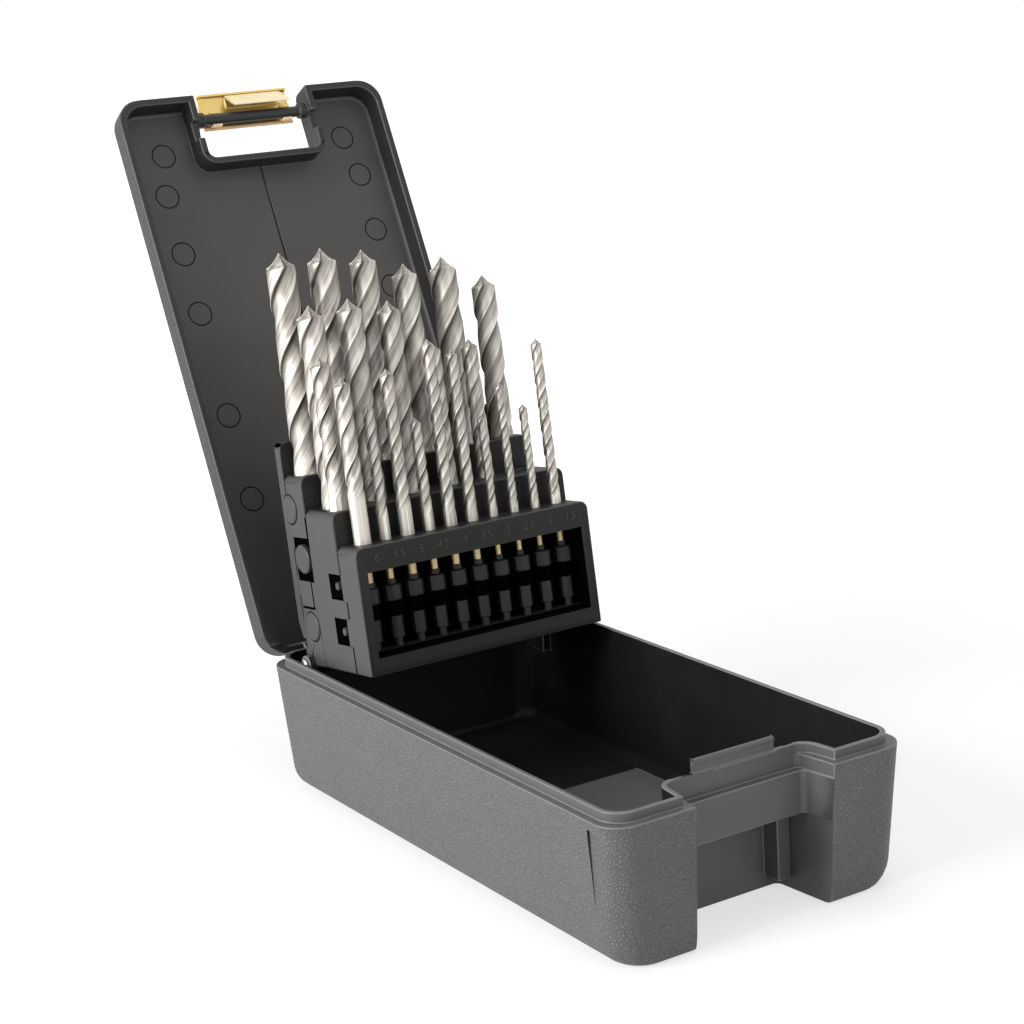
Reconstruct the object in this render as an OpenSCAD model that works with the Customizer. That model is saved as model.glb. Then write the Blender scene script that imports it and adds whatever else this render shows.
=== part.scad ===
// Drill bit case: a moulded tray, a hinged lid with a brass snap latch, and a
// stepped rack of twist drills that stands up at the back when the lid is open.
// Millimetres. X runs across the case, +Y to the hinge, +Z up. The origin is the
// centre of the tray's underside. The case is drawn open, as it stands in use.

/* [Tray] */
// Width of the case across the rim
case_w = 112; // [106:1:120]
// Length of the case, front to hinge
case_l = 216; // [212:1:230]
// Height of the rim shelf above the table
tray_h = 46.5; // [45:0.5:52]
// Corner radius of the case in plan
corner_r = 9; // [6:0.5:12]
// How far the walls lean in from the rim down to the foot
tray_draft = 3; // [1:0.25:4]
// Thickness of the tray's floor
floor_t = 2.3; // [1.8:0.1:2.8]
// Width of the flat shelf that the lid's rim sits on
shelf_w = 2.8; // [2.4:0.1:3.2]
// Thickness of the raised lip inside the shelf
lip_t = 1.6; // [1.2:0.1:2]
// Height of the lip above the shelf
lip_h = 3.2; // [2:0.1:3.6]
// Fillet along the long bottom edges
side_fillet = 8; // [4:0.5:9]
// Fillet along the front and back bottom edges
end_fillet = 2.5; // [1:0.25:4]
// Height of the flange along the top of the back wall
flange_h = 5; // [3:0.5:8]
// How far the flange stands out from the back wall
flange_out = 1.7; // [0.8:0.1:2]
// Height of the set-back foot of the back wall
foot_h = 18; // [10:1:24]
// How far the foot is set back behind the flange
foot_set = 4.1; // [3:0.1:4.4]
// Length of the set-back at each end of the long walls
setback_l = 13; // [8:0.5:20]
// Depth of the set-back at its top, where it is deepest
setback_d = 0.9; // [0.4:0.1:1.4]
// How far the set-back reaches down from the rim
setback_drop = 29.5; // [20:0.5:36]

/* [Finger recess] */
// Width of the recess in the front wall
recess_w = 52; // [49:0.5:58]
// Depth of the recess at the rim, back to the catch band
notch_d = 12.5; // [11:0.25:14]
// Depth of the recess below the catch band
recess_d = 27; // [20:0.5:32]
// How much the recess narrows on each side, from its mouth to its back
recess_flare = 2; // [0.5:0.25:3]
// Height of the catch band
band_h = 14; // [10:0.5:16]
// How far the top of the catch band lies below the rim shelf
band_drop = 4.5; // [2:0.25:6]
// Wall thickness around the recess
recess_wall = 2.2; // [1.8:0.1:3]
// Width of the tab that stands on the lip behind the latch
tab_w = 30.5; // [20:0.5:36]
// Height of the tab above the lip
tab_h = 4.3; // [2:0.1:4.8]

/* [Lid] */
// Thickness of the lid's skin
lid_skin = 2.2; // [1.6:0.1:2.5]
// Thickness of the lid's rim wall
lid_wall = 2.6; // [2:0.1:2.8]
// Fillet round the lid's outside edge
lid_fillet = 3; // [1:0.25:4]
// Angle the lid opens to from closed, degrees
lid_open = 114.7; // [95:0.1:116]
// Width of the notch at the lid's free end
lid_notch_w = 47.5; // [44:0.5:50]
// Depth of that notch
lid_notch_d = 25.5; // [20:0.5:28]
// Height of the lid hinge's axis above the rim shelf
hinge_rise = 1.5; // [1.2:0.1:1.8]
// Diameter of the hinge knuckles
knuckle_d = 5.6; // [5:0.1:6]
// Diameter of the hinge pins
hinge_pin_d = 2.4; // [2:0.1:2.8]
// Width of each hinge knuckle
knuckle_w = 9; // [6:0.5:11]

/* [Latch] */
// Diameter of the bar that the latch turns on
bar_d = 4.2; // [3.6:0.1:4.6]
// Distance of the bar from the lid's free edge
bar_inset = 8.7; // [8:0.1:9.5]
// Height of the bar above the lid's rim plane
bar_rise = 5; // [4.8:0.1:5.4]
// Width of the latch plate
latch_w = 38; // [30:0.5:42]
// How far the latch plate reaches past the bar
latch_l = 10.8; // [9:0.1:11.4]
// Thickness of the latch's sheet brass
latch_t = 0.9; // [0.6:0.05:1.1]
// Width of the hook tongue
hook_w = 23.6; // [16:0.2:26]

/* [Rack] */
// Angle the rack leans back while the lid is open, degrees
rack_lean = 7; // [3:0.5:10]
// Height of the rack's pivot above the rim shelf
rack_rise = 1.9; // [1.6:0.1:2.2]
// Distance of the rack's pivot in front of the case's back
rack_back = 19; // [17:0.5:24]
// Gap between the rack's side and the tray's lip
rack_side_gap = 4.1; // [3.6:0.1:6]
// Gap left under the folded rack
rack_floor_gap = 1.3; // [0.8:0.1:2]
// Gap left over the folded rack
rack_lid_gap = 0.4; // [0.3:0.1:1]
// Depth of the front frame
front_d = 13.4; // [13:0.1:15]
// Depth of the middle block
middle_d = 20.5; // [19:0.1:22]
// Depth of the rear block
rear_d = 13.1; // [12.4:0.1:15]
// Thickness of the back plate
plate_t = 4.3; // [3:0.1:5]
// Height of the front frame
front_h = 44.5; // [40:0.5:50]
// Rise from each tier of the rack to the next
tier_rise = 11.8; // [8:0.2:14]
// Radius of the rack's upper corners
rack_r = 3; // [1:0.25:4]
// Diameter of the rack's pivot pins
rack_pin_d = 2.8; // [2:0.1:3.2]
// Height of the number strip over the window
strip_h = 9; // [7:0.25:11]
// Width of the window's side posts
post_w = 3.8; // [3:0.1:4.2]
// Height of the rail under the window
sill_h = 6; // [4:0.25:8]

/* [Drills] */
// Radial clearance of a drill in its hole
hole_gap = 0.25; // [0.2:0.05:0.4]
// Helix angle of the flutes, degrees
helix_angle = 30; // [24:1:36]
// Height of the front seats above the rack's foot
front_seat = 12; // [10:0.5:14]
// Height of the other seats above the rack's foot
back_seat = 9; // [7:0.5:14]
// Distance from the rack's side to the middle of its first front hole
front_margin = 7.9; // [7:0.1:9]
// The same for the middle row
middle_margin = 9; // [8:0.1:10]
// The same for the rear row
rear_margin = 7.25; // [7:0.05:9]
// Diameter and point height above the rack's foot of each front drill
front_drills = [[6, 101.6], [4.1, 91.2], [5.1, 102.1], [4.1, 83.7], [4.6, 109.8],
                [4.4, 105], [3.2, 80.4], [3.2, 90.7], [3.2, 81.6], [4, 103.8]];
// Diameter and point height of each middle drill
middle_drills = [[9.6, 126.5], [9, 126.9], [8.4, 124.2], [6.4, 107.2], [6.1, 106.4]];
// Diameter and point height of each rear drill
rear_drills = [[10.6, 145.4], [10.6, 145.2], [9.8, 142.8], [9.6, 135.9], [10.2, 136.6],
               [9, 127.8]];
// Diameter of the single drill in the middle tier's front corner
corner_drill_d = 6.9; // [5:0.1:7]
// Point height of that drill
corner_drill_h = 109.2; // [95:0.5:120]

/* [Hidden] */

black = [0.11, 0.11, 0.115];
brass = [0.8, 0.66, 0.34];
steel = [0.62, 0.61, 0.59];

eps = 0.01;
rim_in = shelf_w + lip_t;           // from the case's side to the lip's inner face
floor_in = rim_in + 1;              // the same at the floor, where the wall leans in
front_y = -case_l / 2;
back_y = case_l / 2;
band_z1 = tray_h - band_drop;       // top of the catch band
band_z0 = band_z1 - band_h;         // and its underside
catch_y = front_y + notch_d + shelf_w;   // outer face of the lip behind the notch

hinge_y = back_y - 0.2;
hinge_z = tray_h + hinge_rise;
knuckle_gap = 0.3;                  // between neighbouring knuckles, and round them
hinge_x = 28;                       // centre of each hinge
pin_run = 0.05;                     // radial running clearance of a pin

bar_y = front_y + bar_inset;
bar_z = tray_h + bar_rise;

pivot_y = back_y - rack_back;
pivot_z = tray_h + rack_rise;
rack_w = case_w - 2 * (rim_in + rack_side_gap);
// The rack's own frame: b runs back from the pivot and a runs up along the drills.
rack_front = floor_t + rack_floor_gap - pivot_z;
middle_b = rack_front + front_d;
rear_b = middle_b + middle_d;
plate_b = rear_b + rear_d;
rack_rear = plate_b + plate_t;
// The lid is as deep as the folded rack needs.
lid_top = pivot_z + rack_rear + rack_lid_gap + lid_skin;
lid_depth = lid_top - tray_h;
foot_a = -0.2;                      // underside of the rack
window_h = front_h - sill_h - strip_h;
frame_back = 1;                     // thickness of the front frame's back wall
strip_t = 2;                        // and of its number strip
front_a = foot_a + front_h;
middle_a = front_a + tier_rise;
rear_a = middle_a + tier_rise;
plate_a = rear_a + tier_rise;
front_row_b = middle_b - 5;
middle_row_b = rear_b - 6.9;
corner_row_b = middle_b + 4.6;
rear_row_b = (rear_b + plate_b) / 2;
corner_row_x = -(rack_w / 2 - 5.7);
middle_slots = 6;                   // the middle row has one hole more than drills
spare_hole_d = 6;
front_pitch = (rack_w - 2 * front_margin) / (len(front_drills) - 1);
middle_pitch = (rack_w - 2 * middle_margin) / (middle_slots - 1);
rear_pitch = (rack_w - 2 * rear_margin) / (len(rear_drills) - 1);
cheek_t = 1.2;                      // depth of the pockets and joints in the rack's cheeks
joint_w = 0.9;                      // width of the open joints between the blocks
lug_r = 3.6;                        // radius of the rack's pivot lugs
lug_t = 6;
ear_gap = 0.5;                      // between a lug and its ear
ear_t = 2;
ear_r = 3.4;
ear_drop = 14;                      // how far the ear's web reaches below the rim
sleeve_gap = 0.3;

rim_band = 3;                       // height of the plain band over the set-back
recess_r = 2;                       // radius in the corners of the finger recess
recess_rib_x = 19;
recess_rib_w = 5;
recess_rib_d = 7;
recess_rib_z = 4;
hook_x = 4;                         // the hook stands a little to the right of centre
tab_r = 1;                          // radius of the bar along the tab's top
bead_out = 0.7;
bead_h = 0.8;
mark_d = 0.4;                       // depth of the marks in the lid's skin
mark_w = 0.5;
seam_w = 0.6;
lip_run = 0.3;                      // gap between the lid and the tray's lip

// ---- shared shapes ---------------------------------------------------------

// How far a fillet of radius f has drawn the side in at height z.
function fillet_in(z, f) = z < f ? f - sqrt(f * f - (f - z) * (f - z)) : 0;

// A block with leaning walls, round corners in plan and filleted bottom edges.
module leaning_block(w, l, h, r, draft, f_side, f_end) {
    levels = concat([for (i = [0 : 5]) f_side * (1 - cos(i * 18))],
                    [f_end * 0.3, h - eps]);
    hull()
        for (z = levels, sx = [-1, 1], sy = [-1, 1]) {
            lean = draft * (1 - z / h);
            in_x = lean + fillet_in(z, f_side);
            in_y = lean + fillet_in(z, f_end);
            rr = max(r - fillet_in(z, f_end), 1);
            translate([sx * (w / 2 - in_x - rr), sy * (l / 2 - in_y - rr), z])
                cylinder(r = rr, h = eps, $fn = 32);
        }
}

// A plain slab with round corners in plan.
module slab(w, l, h, r) {
    linear_extrude(height = h) {
        square([w - 2 * r, l], center = true);
        square([w, l - 2 * r], center = true);
        for (sx = [-1, 1], sy = [-1, 1])
            translate([sx * (w / 2 - r), sy * (l / 2 - r)]) circle(r = r, $fn = 64);
    }
}

// A slot cut into the front edge: w wide at the edge, narrower by flare on each side
// at its back, d deep, with round inner corners of radius r.
module front_slot(w, d, r, z0, z1, flare = 0) {
    side = atan(flare / d);
    run = r / tan(45 + side / 2);       // from the corner to where its rounding ends
    back_x = w / 2 - flare;
    mouth = 5;                          // how far the cut runs out in front
    translate([0, front_y, z0])
        linear_extrude(height = z1 - z0)
            for (s = [-1, 1]) {
                polygon([[0, -mouth], [s * (w / 2 + mouth * tan(side)), -mouth],
                         [s * (back_x + run * sin(side)), d - run * cos(side)],
                         [s * (back_x - run), d], [0, d]]);
                translate([s * (back_x - run), d - r]) circle(r = r, $fn = 48);
            }
}

// Extrudes a side view, drawn in y and z, across the case from x0 to x1.
module across(x0, x1) {
    translate([x0, 0, 0]) rotate([90, 0, 90]) linear_extrude(height = x1 - x0) children();
}

// A rod along X from x0 to x1.
module rod(r, x0, x1) {
    translate([x0, 0, 0]) rotate([0, 90, 0]) cylinder(r = r, h = x1 - x0, $fn = 48);
}

module on_both_sides() {
    children();
    mirror([1, 0, 0]) children();
}

// Turns the lid, drawn closed, up to its open pose.
module at_lid() {
    translate([0, hinge_y, hinge_z]) rotate([-lid_open, 0, 0])
        translate([0, -hinge_y, -hinge_z]) children();
}

// Places what is drawn in the rack's own frame.
module at_rack() {
    translate([0, pivot_y, pivot_z]) rotate([-rack_lean, 0, 0]) children();
}

// Knuckle k of each hinge: 0 and 2 are on the tray and 1 is on the lid.
module knuckle_space(k, r, extra) {
    for (s = [-1, 1])
        translate([s * hinge_x, hinge_y, hinge_z])
            rod(r, (k - 1.5) * knuckle_w - extra, (k - 0.5) * knuckle_w + extra);
}

// ---- tray ------------------------------------------------------------------

// The finger recess, grown by t for the wall around it.
module finger_recess(t) {
    front_slot(recess_w + 2 * t, notch_d + t, recess_r + t, band_z0 - eps, lid_top + 5,
               recess_flare);
    front_slot(recess_w + 2 * t, recess_d + t, recess_r + t, -1, band_z0 + t, recess_flare);
}

// The outline of the lip: a ring inset by in from the case's side, round the notch too.
module lip_core(in, z0, z1) {
    difference() {
        translate([0, 0, z0])
            slab(case_w - 2 * in, case_l - 2 * in, z1 - z0, corner_r - in / 2 + lip_run);
        front_slot(recess_w + 2 * in, notch_d + in, recess_r + in, z0 - 1, z1 + 1,
                   recess_flare);
    }
}

module tray_shell() {
    difference() {
        union() {
            leaning_block(case_w, case_l, tray_h, corner_r, tray_draft,
                          side_fillet, end_fillet);
            lip_core(shelf_w, tray_h - 1, tray_h + lip_h);
        }
        corner_setbacks();
        // the cavity, which keeps clear of the walls round the finger recess
        difference() {
            union() {
                translate([0, 0, floor_t])
                    leaning_block(case_w - 2 * rim_in, case_l - 2 * rim_in,
                                  tray_h - floor_t, corner_r - rim_in / 2,
                                  floor_in - rim_in, side_fillet - rim_in + 1, 2);
                translate([0, 0, tray_h - 1])
                    slab(case_w - 2 * rim_in, case_l - 2 * rim_in, lip_h + 10,
                         corner_r - rim_in / 2);
            }
            finger_recess(recess_wall);
            lip_core_block();
        }
        finger_recess(0);
        // behind the notch the shelf is lower, and is the top of the catch band
        front_slot(recess_w, notch_d + shelf_w, recess_r, band_z1, lid_top + 5, recess_flare);
        // the lip at the back stays clear of the lid's back wall while the lid turns
        translate([-case_w, back_y - shelf_w - 2 * lip_run, tray_h])
            cube([2 * case_w, 2 * shelf_w, lip_h + 1]);
        // the back wall is set back under its flange, and again at its foot
        translate([-case_w, back_y - flange_out, -1])
            cube([2 * case_w, 10, tray_h - flange_h + 1]);
        translate([-case_w, back_y - foot_set, -1]) cube([2 * case_w, 10, foot_h + 1]);
    }
}

// Under the rim band the ends of the long walls are set back. Each is a wedge, because
// the wall leans in to meet the set-back lower down.
module corner_setbacks() {
    z0 = tray_h - setback_drop;
    z1 = tray_h - rim_band;
    wall_x = case_w / 2 - tray_draft * (1 - z0 / tray_h);
    top_x = case_w / 2 - tray_draft * rim_band / tray_h - setback_d;
    on_both_sides()
        for (y = [front_y - 1, back_y - setback_l])
            translate([0, y + setback_l + 1, 0]) rotate([90, 0, 0])
                linear_extrude(height = setback_l + 1)
                    polygon([[wall_x, z0], [top_x, z1], [case_w, z1], [case_w, z0]]);
}

// The lip's own wall where it passes round the notch.
module lip_core_block() {
    front_slot(recess_w + 2 * rim_in, notch_d + rim_in, recess_r + rim_in,
               band_z0, tray_h + lip_h, recess_flare);
}

// An upright ear that carries one of the rack's pivot pins.
module rack_ear() {
    x0 = rack_w / 2 + ear_gap;
    translate([0, pivot_y, pivot_z]) rod(ear_r, x0, x0 + ear_t);
    translate([x0, pivot_y - ear_r, tray_h - ear_drop])
        cube([ear_t, 2 * ear_r, pivot_z - tray_h + ear_drop]);
    // the web that joins the ear to the wall, below the pin's head
    translate([x0, pivot_y - ear_r, tray_h - ear_drop])
        cube([case_w / 2 - rim_in + 1 - x0, 2 * ear_r, ear_drop - ear_r]);
}

module tray() {
    color(black)
    difference() {
        union() {
            tray_shell();
            on_both_sides() rack_ear();
            knuckle_space(0, knuckle_d / 2, 0);
            knuckle_space(2, knuckle_d / 2, 0);
            // the tab behind the latch, with a rounded bar along its top
            translate([-tab_w / 2, catch_y + 0.1, tray_h + lip_h - 1])
                cube([tab_w, lip_t - 0.2, tab_h + 1 - tab_r]);
            translate([0, catch_y + lip_t / 2, tray_h + lip_h + tab_h - tab_r])
                rod(tab_r, -tab_w / 2, tab_w / 2);
            // the bead that the hook snaps under
            translate([hook_x - hook_w / 2, catch_y - bead_out, tray_h + lip_h - bead_h])
                cube([hook_w, bead_out + 0.3, bead_h]);
            // upright ribs that stiffen the recess under the catch band
            on_both_sides()
                translate([recess_rib_x, front_y + recess_d - recess_rib_d, recess_rib_z])
                    cube([recess_rib_w, recess_rib_d + 0.5, band_z0 - recess_rib_z + 0.5]);
        }
        knuckle_space(1, knuckle_d / 2 + 0.4, knuckle_gap);
        knuckle_space(0, hinge_pin_d / 2 + pin_run, eps);
        knuckle_space(2, hinge_pin_d / 2 + pin_run, eps);
        on_both_sides()
            translate([0, pivot_y, pivot_z])
                rod(rack_pin_d / 2 + pin_run, rack_w / 2 - 1, rack_w / 2 + ear_gap + ear_t + 1);
    }
}

// ---- lid -------------------------------------------------------------------

// Round ejector marks down both sides of the lid's inner skin, as [x, y].
marks = [[38.5, -88], [41.5, -72], [41.5, -48.8], [41.5, -25], [41.5, 15.3], [41.5, 48]];
mark_r = 4.8;

module ejector_marks() {
    on_both_sides()
        for (p = marks)
            translate([p[0], p[1], lid_top - lid_skin - 1])
                difference() {
                    cylinder(r = mark_r, h = 1 + mark_d, $fn = 48);
                    translate([0, 0, -1]) cylinder(r = mark_r - mark_w, h = 3, $fn = 48);
                }
}

module lid() {
    color(black) at_lid()
    difference() {
        union() {
            difference() {
                translate([0, 0, lid_top]) mirror([0, 0, 1])
                    leaning_block(case_w, case_l, lid_depth, corner_r, 0.6,
                                  lid_fillet, lid_fillet);
                difference() {
                    translate([0, 0, lid_top - lid_skin]) mirror([0, 0, 1])
                        leaning_block(case_w - 2 * lid_wall, case_l - 2 * lid_wall,
                                      lid_depth, corner_r - lid_wall / 2, 0.4, 1.5, 1.5);
                    front_slot(lid_notch_w + 2 * lid_wall, lid_notch_d + lid_wall,
                               3 + lid_wall, tray_h - 5, lid_top + 1);
                }
                front_slot(lid_notch_w, lid_notch_d, 3, tray_h - 5, lid_top + 1);
                ejector_marks();
                // the centre line pressed into the inner skin
                translate([-seam_w / 2, front_y + lid_notch_d + lid_wall,
                           lid_top - lid_skin - 1])
                    cube([seam_w, case_l - lid_notch_d - 2 * lid_wall, 1 + 2 * mark_d]);
                // the side walls of the notch are cut back where they pass the tray's lip
                translate([-recess_w / 2 - shelf_w, catch_y - recess_r - shelf_w - lip_run,
                           tray_h - 1])
                    cube([recess_w + 2 * shelf_w, recess_r + rim_in + 2 * lip_run,
                          lip_h + 1 + lip_run]);
                // the back wall's edge stays clear of the shelf while the lid turns
                translate([-case_w, back_y - shelf_w - 1, tray_h - 1])
                    cube([2 * case_w, 2 * shelf_w, 1 + lip_run]);
            }
            knuckle_space(1, knuckle_d / 2, 0);
            // the latch bar and the collars at its ends
            translate([0, bar_y, bar_z]) {
                rod(bar_d / 2, -lid_notch_w / 2 - 1, lid_notch_w / 2 + 1);
                on_both_sides() rod(bar_d / 2 + 0.9, lid_notch_w / 2 - 3.4, lid_notch_w / 2 + 1);
            }
        }
        knuckle_space(0, knuckle_d / 2 + 0.4, knuckle_gap);
        knuckle_space(2, knuckle_d / 2 + 0.4, knuckle_gap);
        knuckle_space(1, hinge_pin_d / 2 + pin_run, eps);
    }
}

module lid_hinge_pins() {
    color(steel)
        for (s = [-1, 1])
            translate([s * hinge_x, hinge_y, hinge_z])
                rod(hinge_pin_d / 2, -1.5 * knuckle_w, 1.5 * knuckle_w);
}

// ---- latch -----------------------------------------------------------------

// Point i of a bent strip's middle line, moved h to its left and mitred at the bend.
function strip_side(points, i, h) =
    let (last = len(points) - 1,
         before = points[i] - points[max(i - 1, 0)],
         after = points[min(i + 1, last)] - points[i],
         u = i == 0 ? after / norm(after) : before / norm(before),
         v = i == last ? u : after / norm(after),
         m = (u + v) / norm(u + v))
    points[i] + h / (m * u) * [-m[1], m[0]];

// A bent strip of sheet: its middle line is a list of points, and t is its thickness.
module bent_strip(points, t) {
    last = len(points) - 1;
    polygon(concat([for (i = [0 : last]) strip_side(points, i, t / 2)],
                   [for (i = [last : -1 : 0]) strip_side(points, i, -t / 2)]));
}

latch_q = bar_d / 2 + 1.9;          // the plate's middle above the bar's centre
latch_run = 0.1;                    // radial clearance of the latch on the bar

module latch_plate() {
    color(brass) at_lid() translate([0, bar_y, bar_z]) {
        across(-latch_w / 2, latch_w / 2)
            bent_strip([[3, latch_q - 0.6], [2, latch_q], [0.8 - latch_l, latch_q],
                        [-latch_l, latch_q - 0.8], [-latch_l, latch_q - 1.8]], latch_t);
        // curled ears that hold the plate on the bar
        for (x = [-latch_w / 2 + 2, latch_w / 2 - 6])
            across(x, x + 4)
                difference() {
                    union() {
                        circle(r = bar_d / 2 + latch_run + latch_t, $fn = 48);
                        translate([-1, 0]) square([2, latch_q]);
                    }
                    circle(r = bar_d / 2 + latch_run, $fn = 48);
                    translate([-5, -8]) square([10, 7.2]);
                }
    }
}

module latch_hook() {
    q = latch_q - latch_t;
    color(brass) at_lid() translate([0, bar_y, bar_z])
        across(hook_x - hook_w / 2, hook_x + hook_w / 2)
            bent_strip([[-5.2, q], [1.6 - latch_l, q], [1.2 - latch_l, q - 0.8], [-4.7, -3.2],
                        [-3.6, -4.7]],
                       latch_t);
}

// ---- rack ------------------------------------------------------------------

// A block across the rack from b0 to b1 and a0 to a1, with round upper corners.
module tier(b0, b1, a0, a1) {
    translate([0, b1, 0]) rotate([90, 0, 0]) linear_extrude(height = b1 - b0) {
        translate([-rack_w / 2, a0]) square([rack_w, a1 - a0 - rack_r]);
        translate([-rack_w / 2 + rack_r, a0]) square([rack_w - 2 * rack_r, a1 - a0]);
        for (s = [-1, 1])
            translate([s * (rack_w / 2 - rack_r), a1 - rack_r]) circle(r = rack_r, $fn = 48);
    }
}

// Boxes at both cheeks, in to a depth of t: each is [b0, b1, a0, a1].
module at_cheeks(boxes, t) {
    on_both_sides()
        for (p = boxes)
            translate([rack_w / 2 - t, p[0], p[2]]) cube([t + 1, p[1] - p[0], p[3] - p[2]]);
}

// The middle block reaches out at both cheeks into the blocks before and behind it.
front_teeth = [[foot_a - 1, 9.3], [19.4, 25]];
rear_teeth = [[21.2, 30.2]];
tooth_d = 2.2;
tooth_slack = 0.15;

module teeth(spans, b0, b1) {
    intersection() {
        at_cheeks([for (s = spans) [b0, b1, s[0], s[1]]], cheek_t + 0.8);
        translate([-rack_w / 2, b0 - 1, foot_a]) cube([rack_w, b1 - b0 + 2, plate_a]);
    }
}

// What the teeth need: an open joint at their ends and a little slack at their sides.
module tooth_space(spans, b0, b1) {
    at_cheeks([for (s = spans) [b0, b1, s[0] - tooth_slack, s[1] + tooth_slack]],
              cheek_t + 0.8 + tooth_slack);
}

// The open joints and the pockets round the pins and plugs.
cheek_cuts = [
    [middle_b - joint_w, middle_b, 34.5, 42],
    [middle_b, middle_b + 8.6, 25.5, 34.5],
    [middle_b, middle_b + 8.6, 9.5, 19],
    [rear_b, rear_b + joint_w, 46, 53.5],
    [rear_b, rear_b + rear_d - 1.5, rear_teeth[0][1] + tooth_slack, 46],
    [rear_b + 2, rear_b + rear_d - 1.5, 20.3, rear_teeth[0][0]],
    [plate_b - joint_w, plate_b, 32, 42],
    [plate_b - joint_w, plate_b, 17, 25],
    [plate_b - joint_w, plate_b, 61.5, 65]];

function row_x(i, count, pitch) = (i - (count - 1) / 2) * pitch;
function front_x(i) = row_x(i, len(front_drills), front_pitch);
function middle_x(i) = row_x(i, middle_slots, middle_pitch);
function rear_x(i) = row_x(i, len(rear_drills), rear_pitch);

// A blind hole for a drill of diameter d, from the seat up through the tier.
module drill_hole(x, b, seat, d) {
    translate([x, b, seat]) cylinder(r = d / 2 + hole_gap, h = 100, $fn = 48);
}

module front_holes() {
    for (i = [0 : len(front_drills) - 1])
        drill_hole(front_x(i), front_row_b, foot_a + front_seat, front_drills[i][0]);
}

module rack_front_frame() {
    sill_a = foot_a + sill_h;
    color(black) at_rack()
    difference() {
        tier(rack_front, middle_b, foot_a, front_a);
        // the window, and the hollow behind the number strip
        translate([-rack_w / 2 + post_w, rack_front - 1, sill_a])
            cube([rack_w - 2 * post_w, front_d + 1 - frame_back, window_h]);
        translate([-rack_w / 2 + post_w, rack_front + strip_t, sill_a])
            cube([rack_w - 2 * post_w, front_d - strip_t - frame_back,
                  front_h - sill_h - strip_t - 1]);
        front_holes();
        tooth_space(front_teeth, middle_b - tooth_d - joint_w, middle_b + 1);
        at_cheeks(cheek_cuts, cheek_t);
    }
}

// The comb of stepped sleeves that grips the ten front shanks. Each has a leg, a waist
// that is set back, a body and a neck, as [width / pitch, front, lowest, highest], where
// the heights are shares of the window's.
sleeve_steps = [[0.5, 4.4, 0, 0.34], [0.42, 3.7, 0.33, 0.51], [0.7, 4.6, 0.5, 0.73],
                [0.46, 4.2, 0.72, 0.865]];

module rack_sleeves() {
    back = middle_b - frame_back - sleeve_gap;
    color(black) at_rack()
    difference() {
        union() {
            translate([-rack_w / 2 + post_w + sleeve_gap, front_row_b - 3.4, foot_a + sill_h])
                cube([rack_w - 2 * (post_w + sleeve_gap), back - front_row_b + 3.4,
                      0.09 * window_h]);
            for (i = [0 : len(front_drills) - 1], p = sleeve_steps)
                translate([front_x(i) - p[0] * front_pitch / 2, front_row_b - p[1],
                           foot_a + sill_h + p[2] * window_h])
                    cube([p[0] * front_pitch, back - front_row_b + p[1],
                          (p[3] - p[2]) * window_h]);
        }
        front_holes();
    }
}

module rack_middle_block() {
    color(black) at_rack()
    difference() {
        union() {
            tier(middle_b, rear_b, foot_a, middle_a);
            teeth(front_teeth, middle_b - tooth_d, middle_b + 1);
            teeth(rear_teeth, rear_b - 1, rear_b + tooth_d);
        }
        for (i = [0 : middle_slots - 1])
            drill_hole(middle_x(i), middle_row_b, foot_a + back_seat,
                       i < len(middle_drills) ? middle_drills[i][0] : spare_hole_d);
        drill_hole(corner_row_x, corner_row_b, foot_a + back_seat, corner_drill_d);
        at_cheeks(cheek_cuts, cheek_t);
        rack_pin_space();
    }
}

module rack_rear_block() {
    color(black) at_rack()
    difference() {
        union() {
            tier(rear_b, plate_b, foot_a, rear_a);
            // lugs that reach down to the pivot
            on_both_sides() {
                rod(lug_r, rack_w / 2 - lug_t, rack_w / 2);
                translate([rack_w / 2 - lug_t, -lug_r, 0]) cube([lug_t, 2 * lug_r, 6]);
            }
        }
        for (i = [0 : len(rear_drills) - 1])
            drill_hole(rear_x(i), rear_row_b, foot_a + back_seat, rear_drills[i][0]);
        tooth_space(rear_teeth, rear_b - 1, rear_b + tooth_d + joint_w);
        on_both_sides() rod(rack_pin_d / 2, rack_w / 2 - lug_t + 1, rack_w / 2 + 1);
        at_cheeks(cheek_cuts, cheek_t);
        plug_space();
    }
}

module rack_back_plate() {
    color(black) at_rack()
    difference() {
        tier(plate_b, rack_rear, foot_a + 9, plate_a);
        // the foot is cut away behind, so that the rack can swing
        across(-case_w, case_w)
            polygon([[rack_rear - 2.6, foot_a + 8], [rack_rear + 1, foot_a + 8],
                     [rack_rear + 1, foot_a + 17]]);
        plug_space();
    }
}

// Round plugs that key the rear blocks together, as [b, a] on each cheek.
plugs = [[plate_b - 1.8, 55.8], [rear_b + 6.3, 38.3], [rear_b + 6, 14]];
plug_r = 5.2;
plug_in = cheek_t + 0.2;
plug_out = 0.5;
plug_gap = 0.4;

module plug_space() {
    on_both_sides()
        for (p = plugs)
            translate([0, p[0], p[1]]) {
                rod(plug_r, rack_w / 2 - plug_in, rack_w / 2 + 2);
                rod(plug_r + plug_gap, rack_w / 2 - cheek_t / 2, rack_w / 2 + 2);
            }
}

module rack_side_plugs() {
    color(black) at_rack() on_both_sides()
        for (p = plugs)
            translate([0, p[0], p[1]]) {
                rod(plug_r, rack_w / 2 - plug_in, rack_w / 2 + plug_out - 0.2);
                rod(plug_r - 0.5, rack_w / 2 - plug_in, rack_w / 2 + plug_out);
            }
}

// Small pins that stand in the pockets of the middle block, as [b, a] on each cheek.
cheek_pins = [[middle_b + 2.6, 30.5], [middle_b + 1.8, 14.5]];
cheek_pin_r = 1.5;
cheek_pin_in = cheek_t + 0.6;

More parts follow.
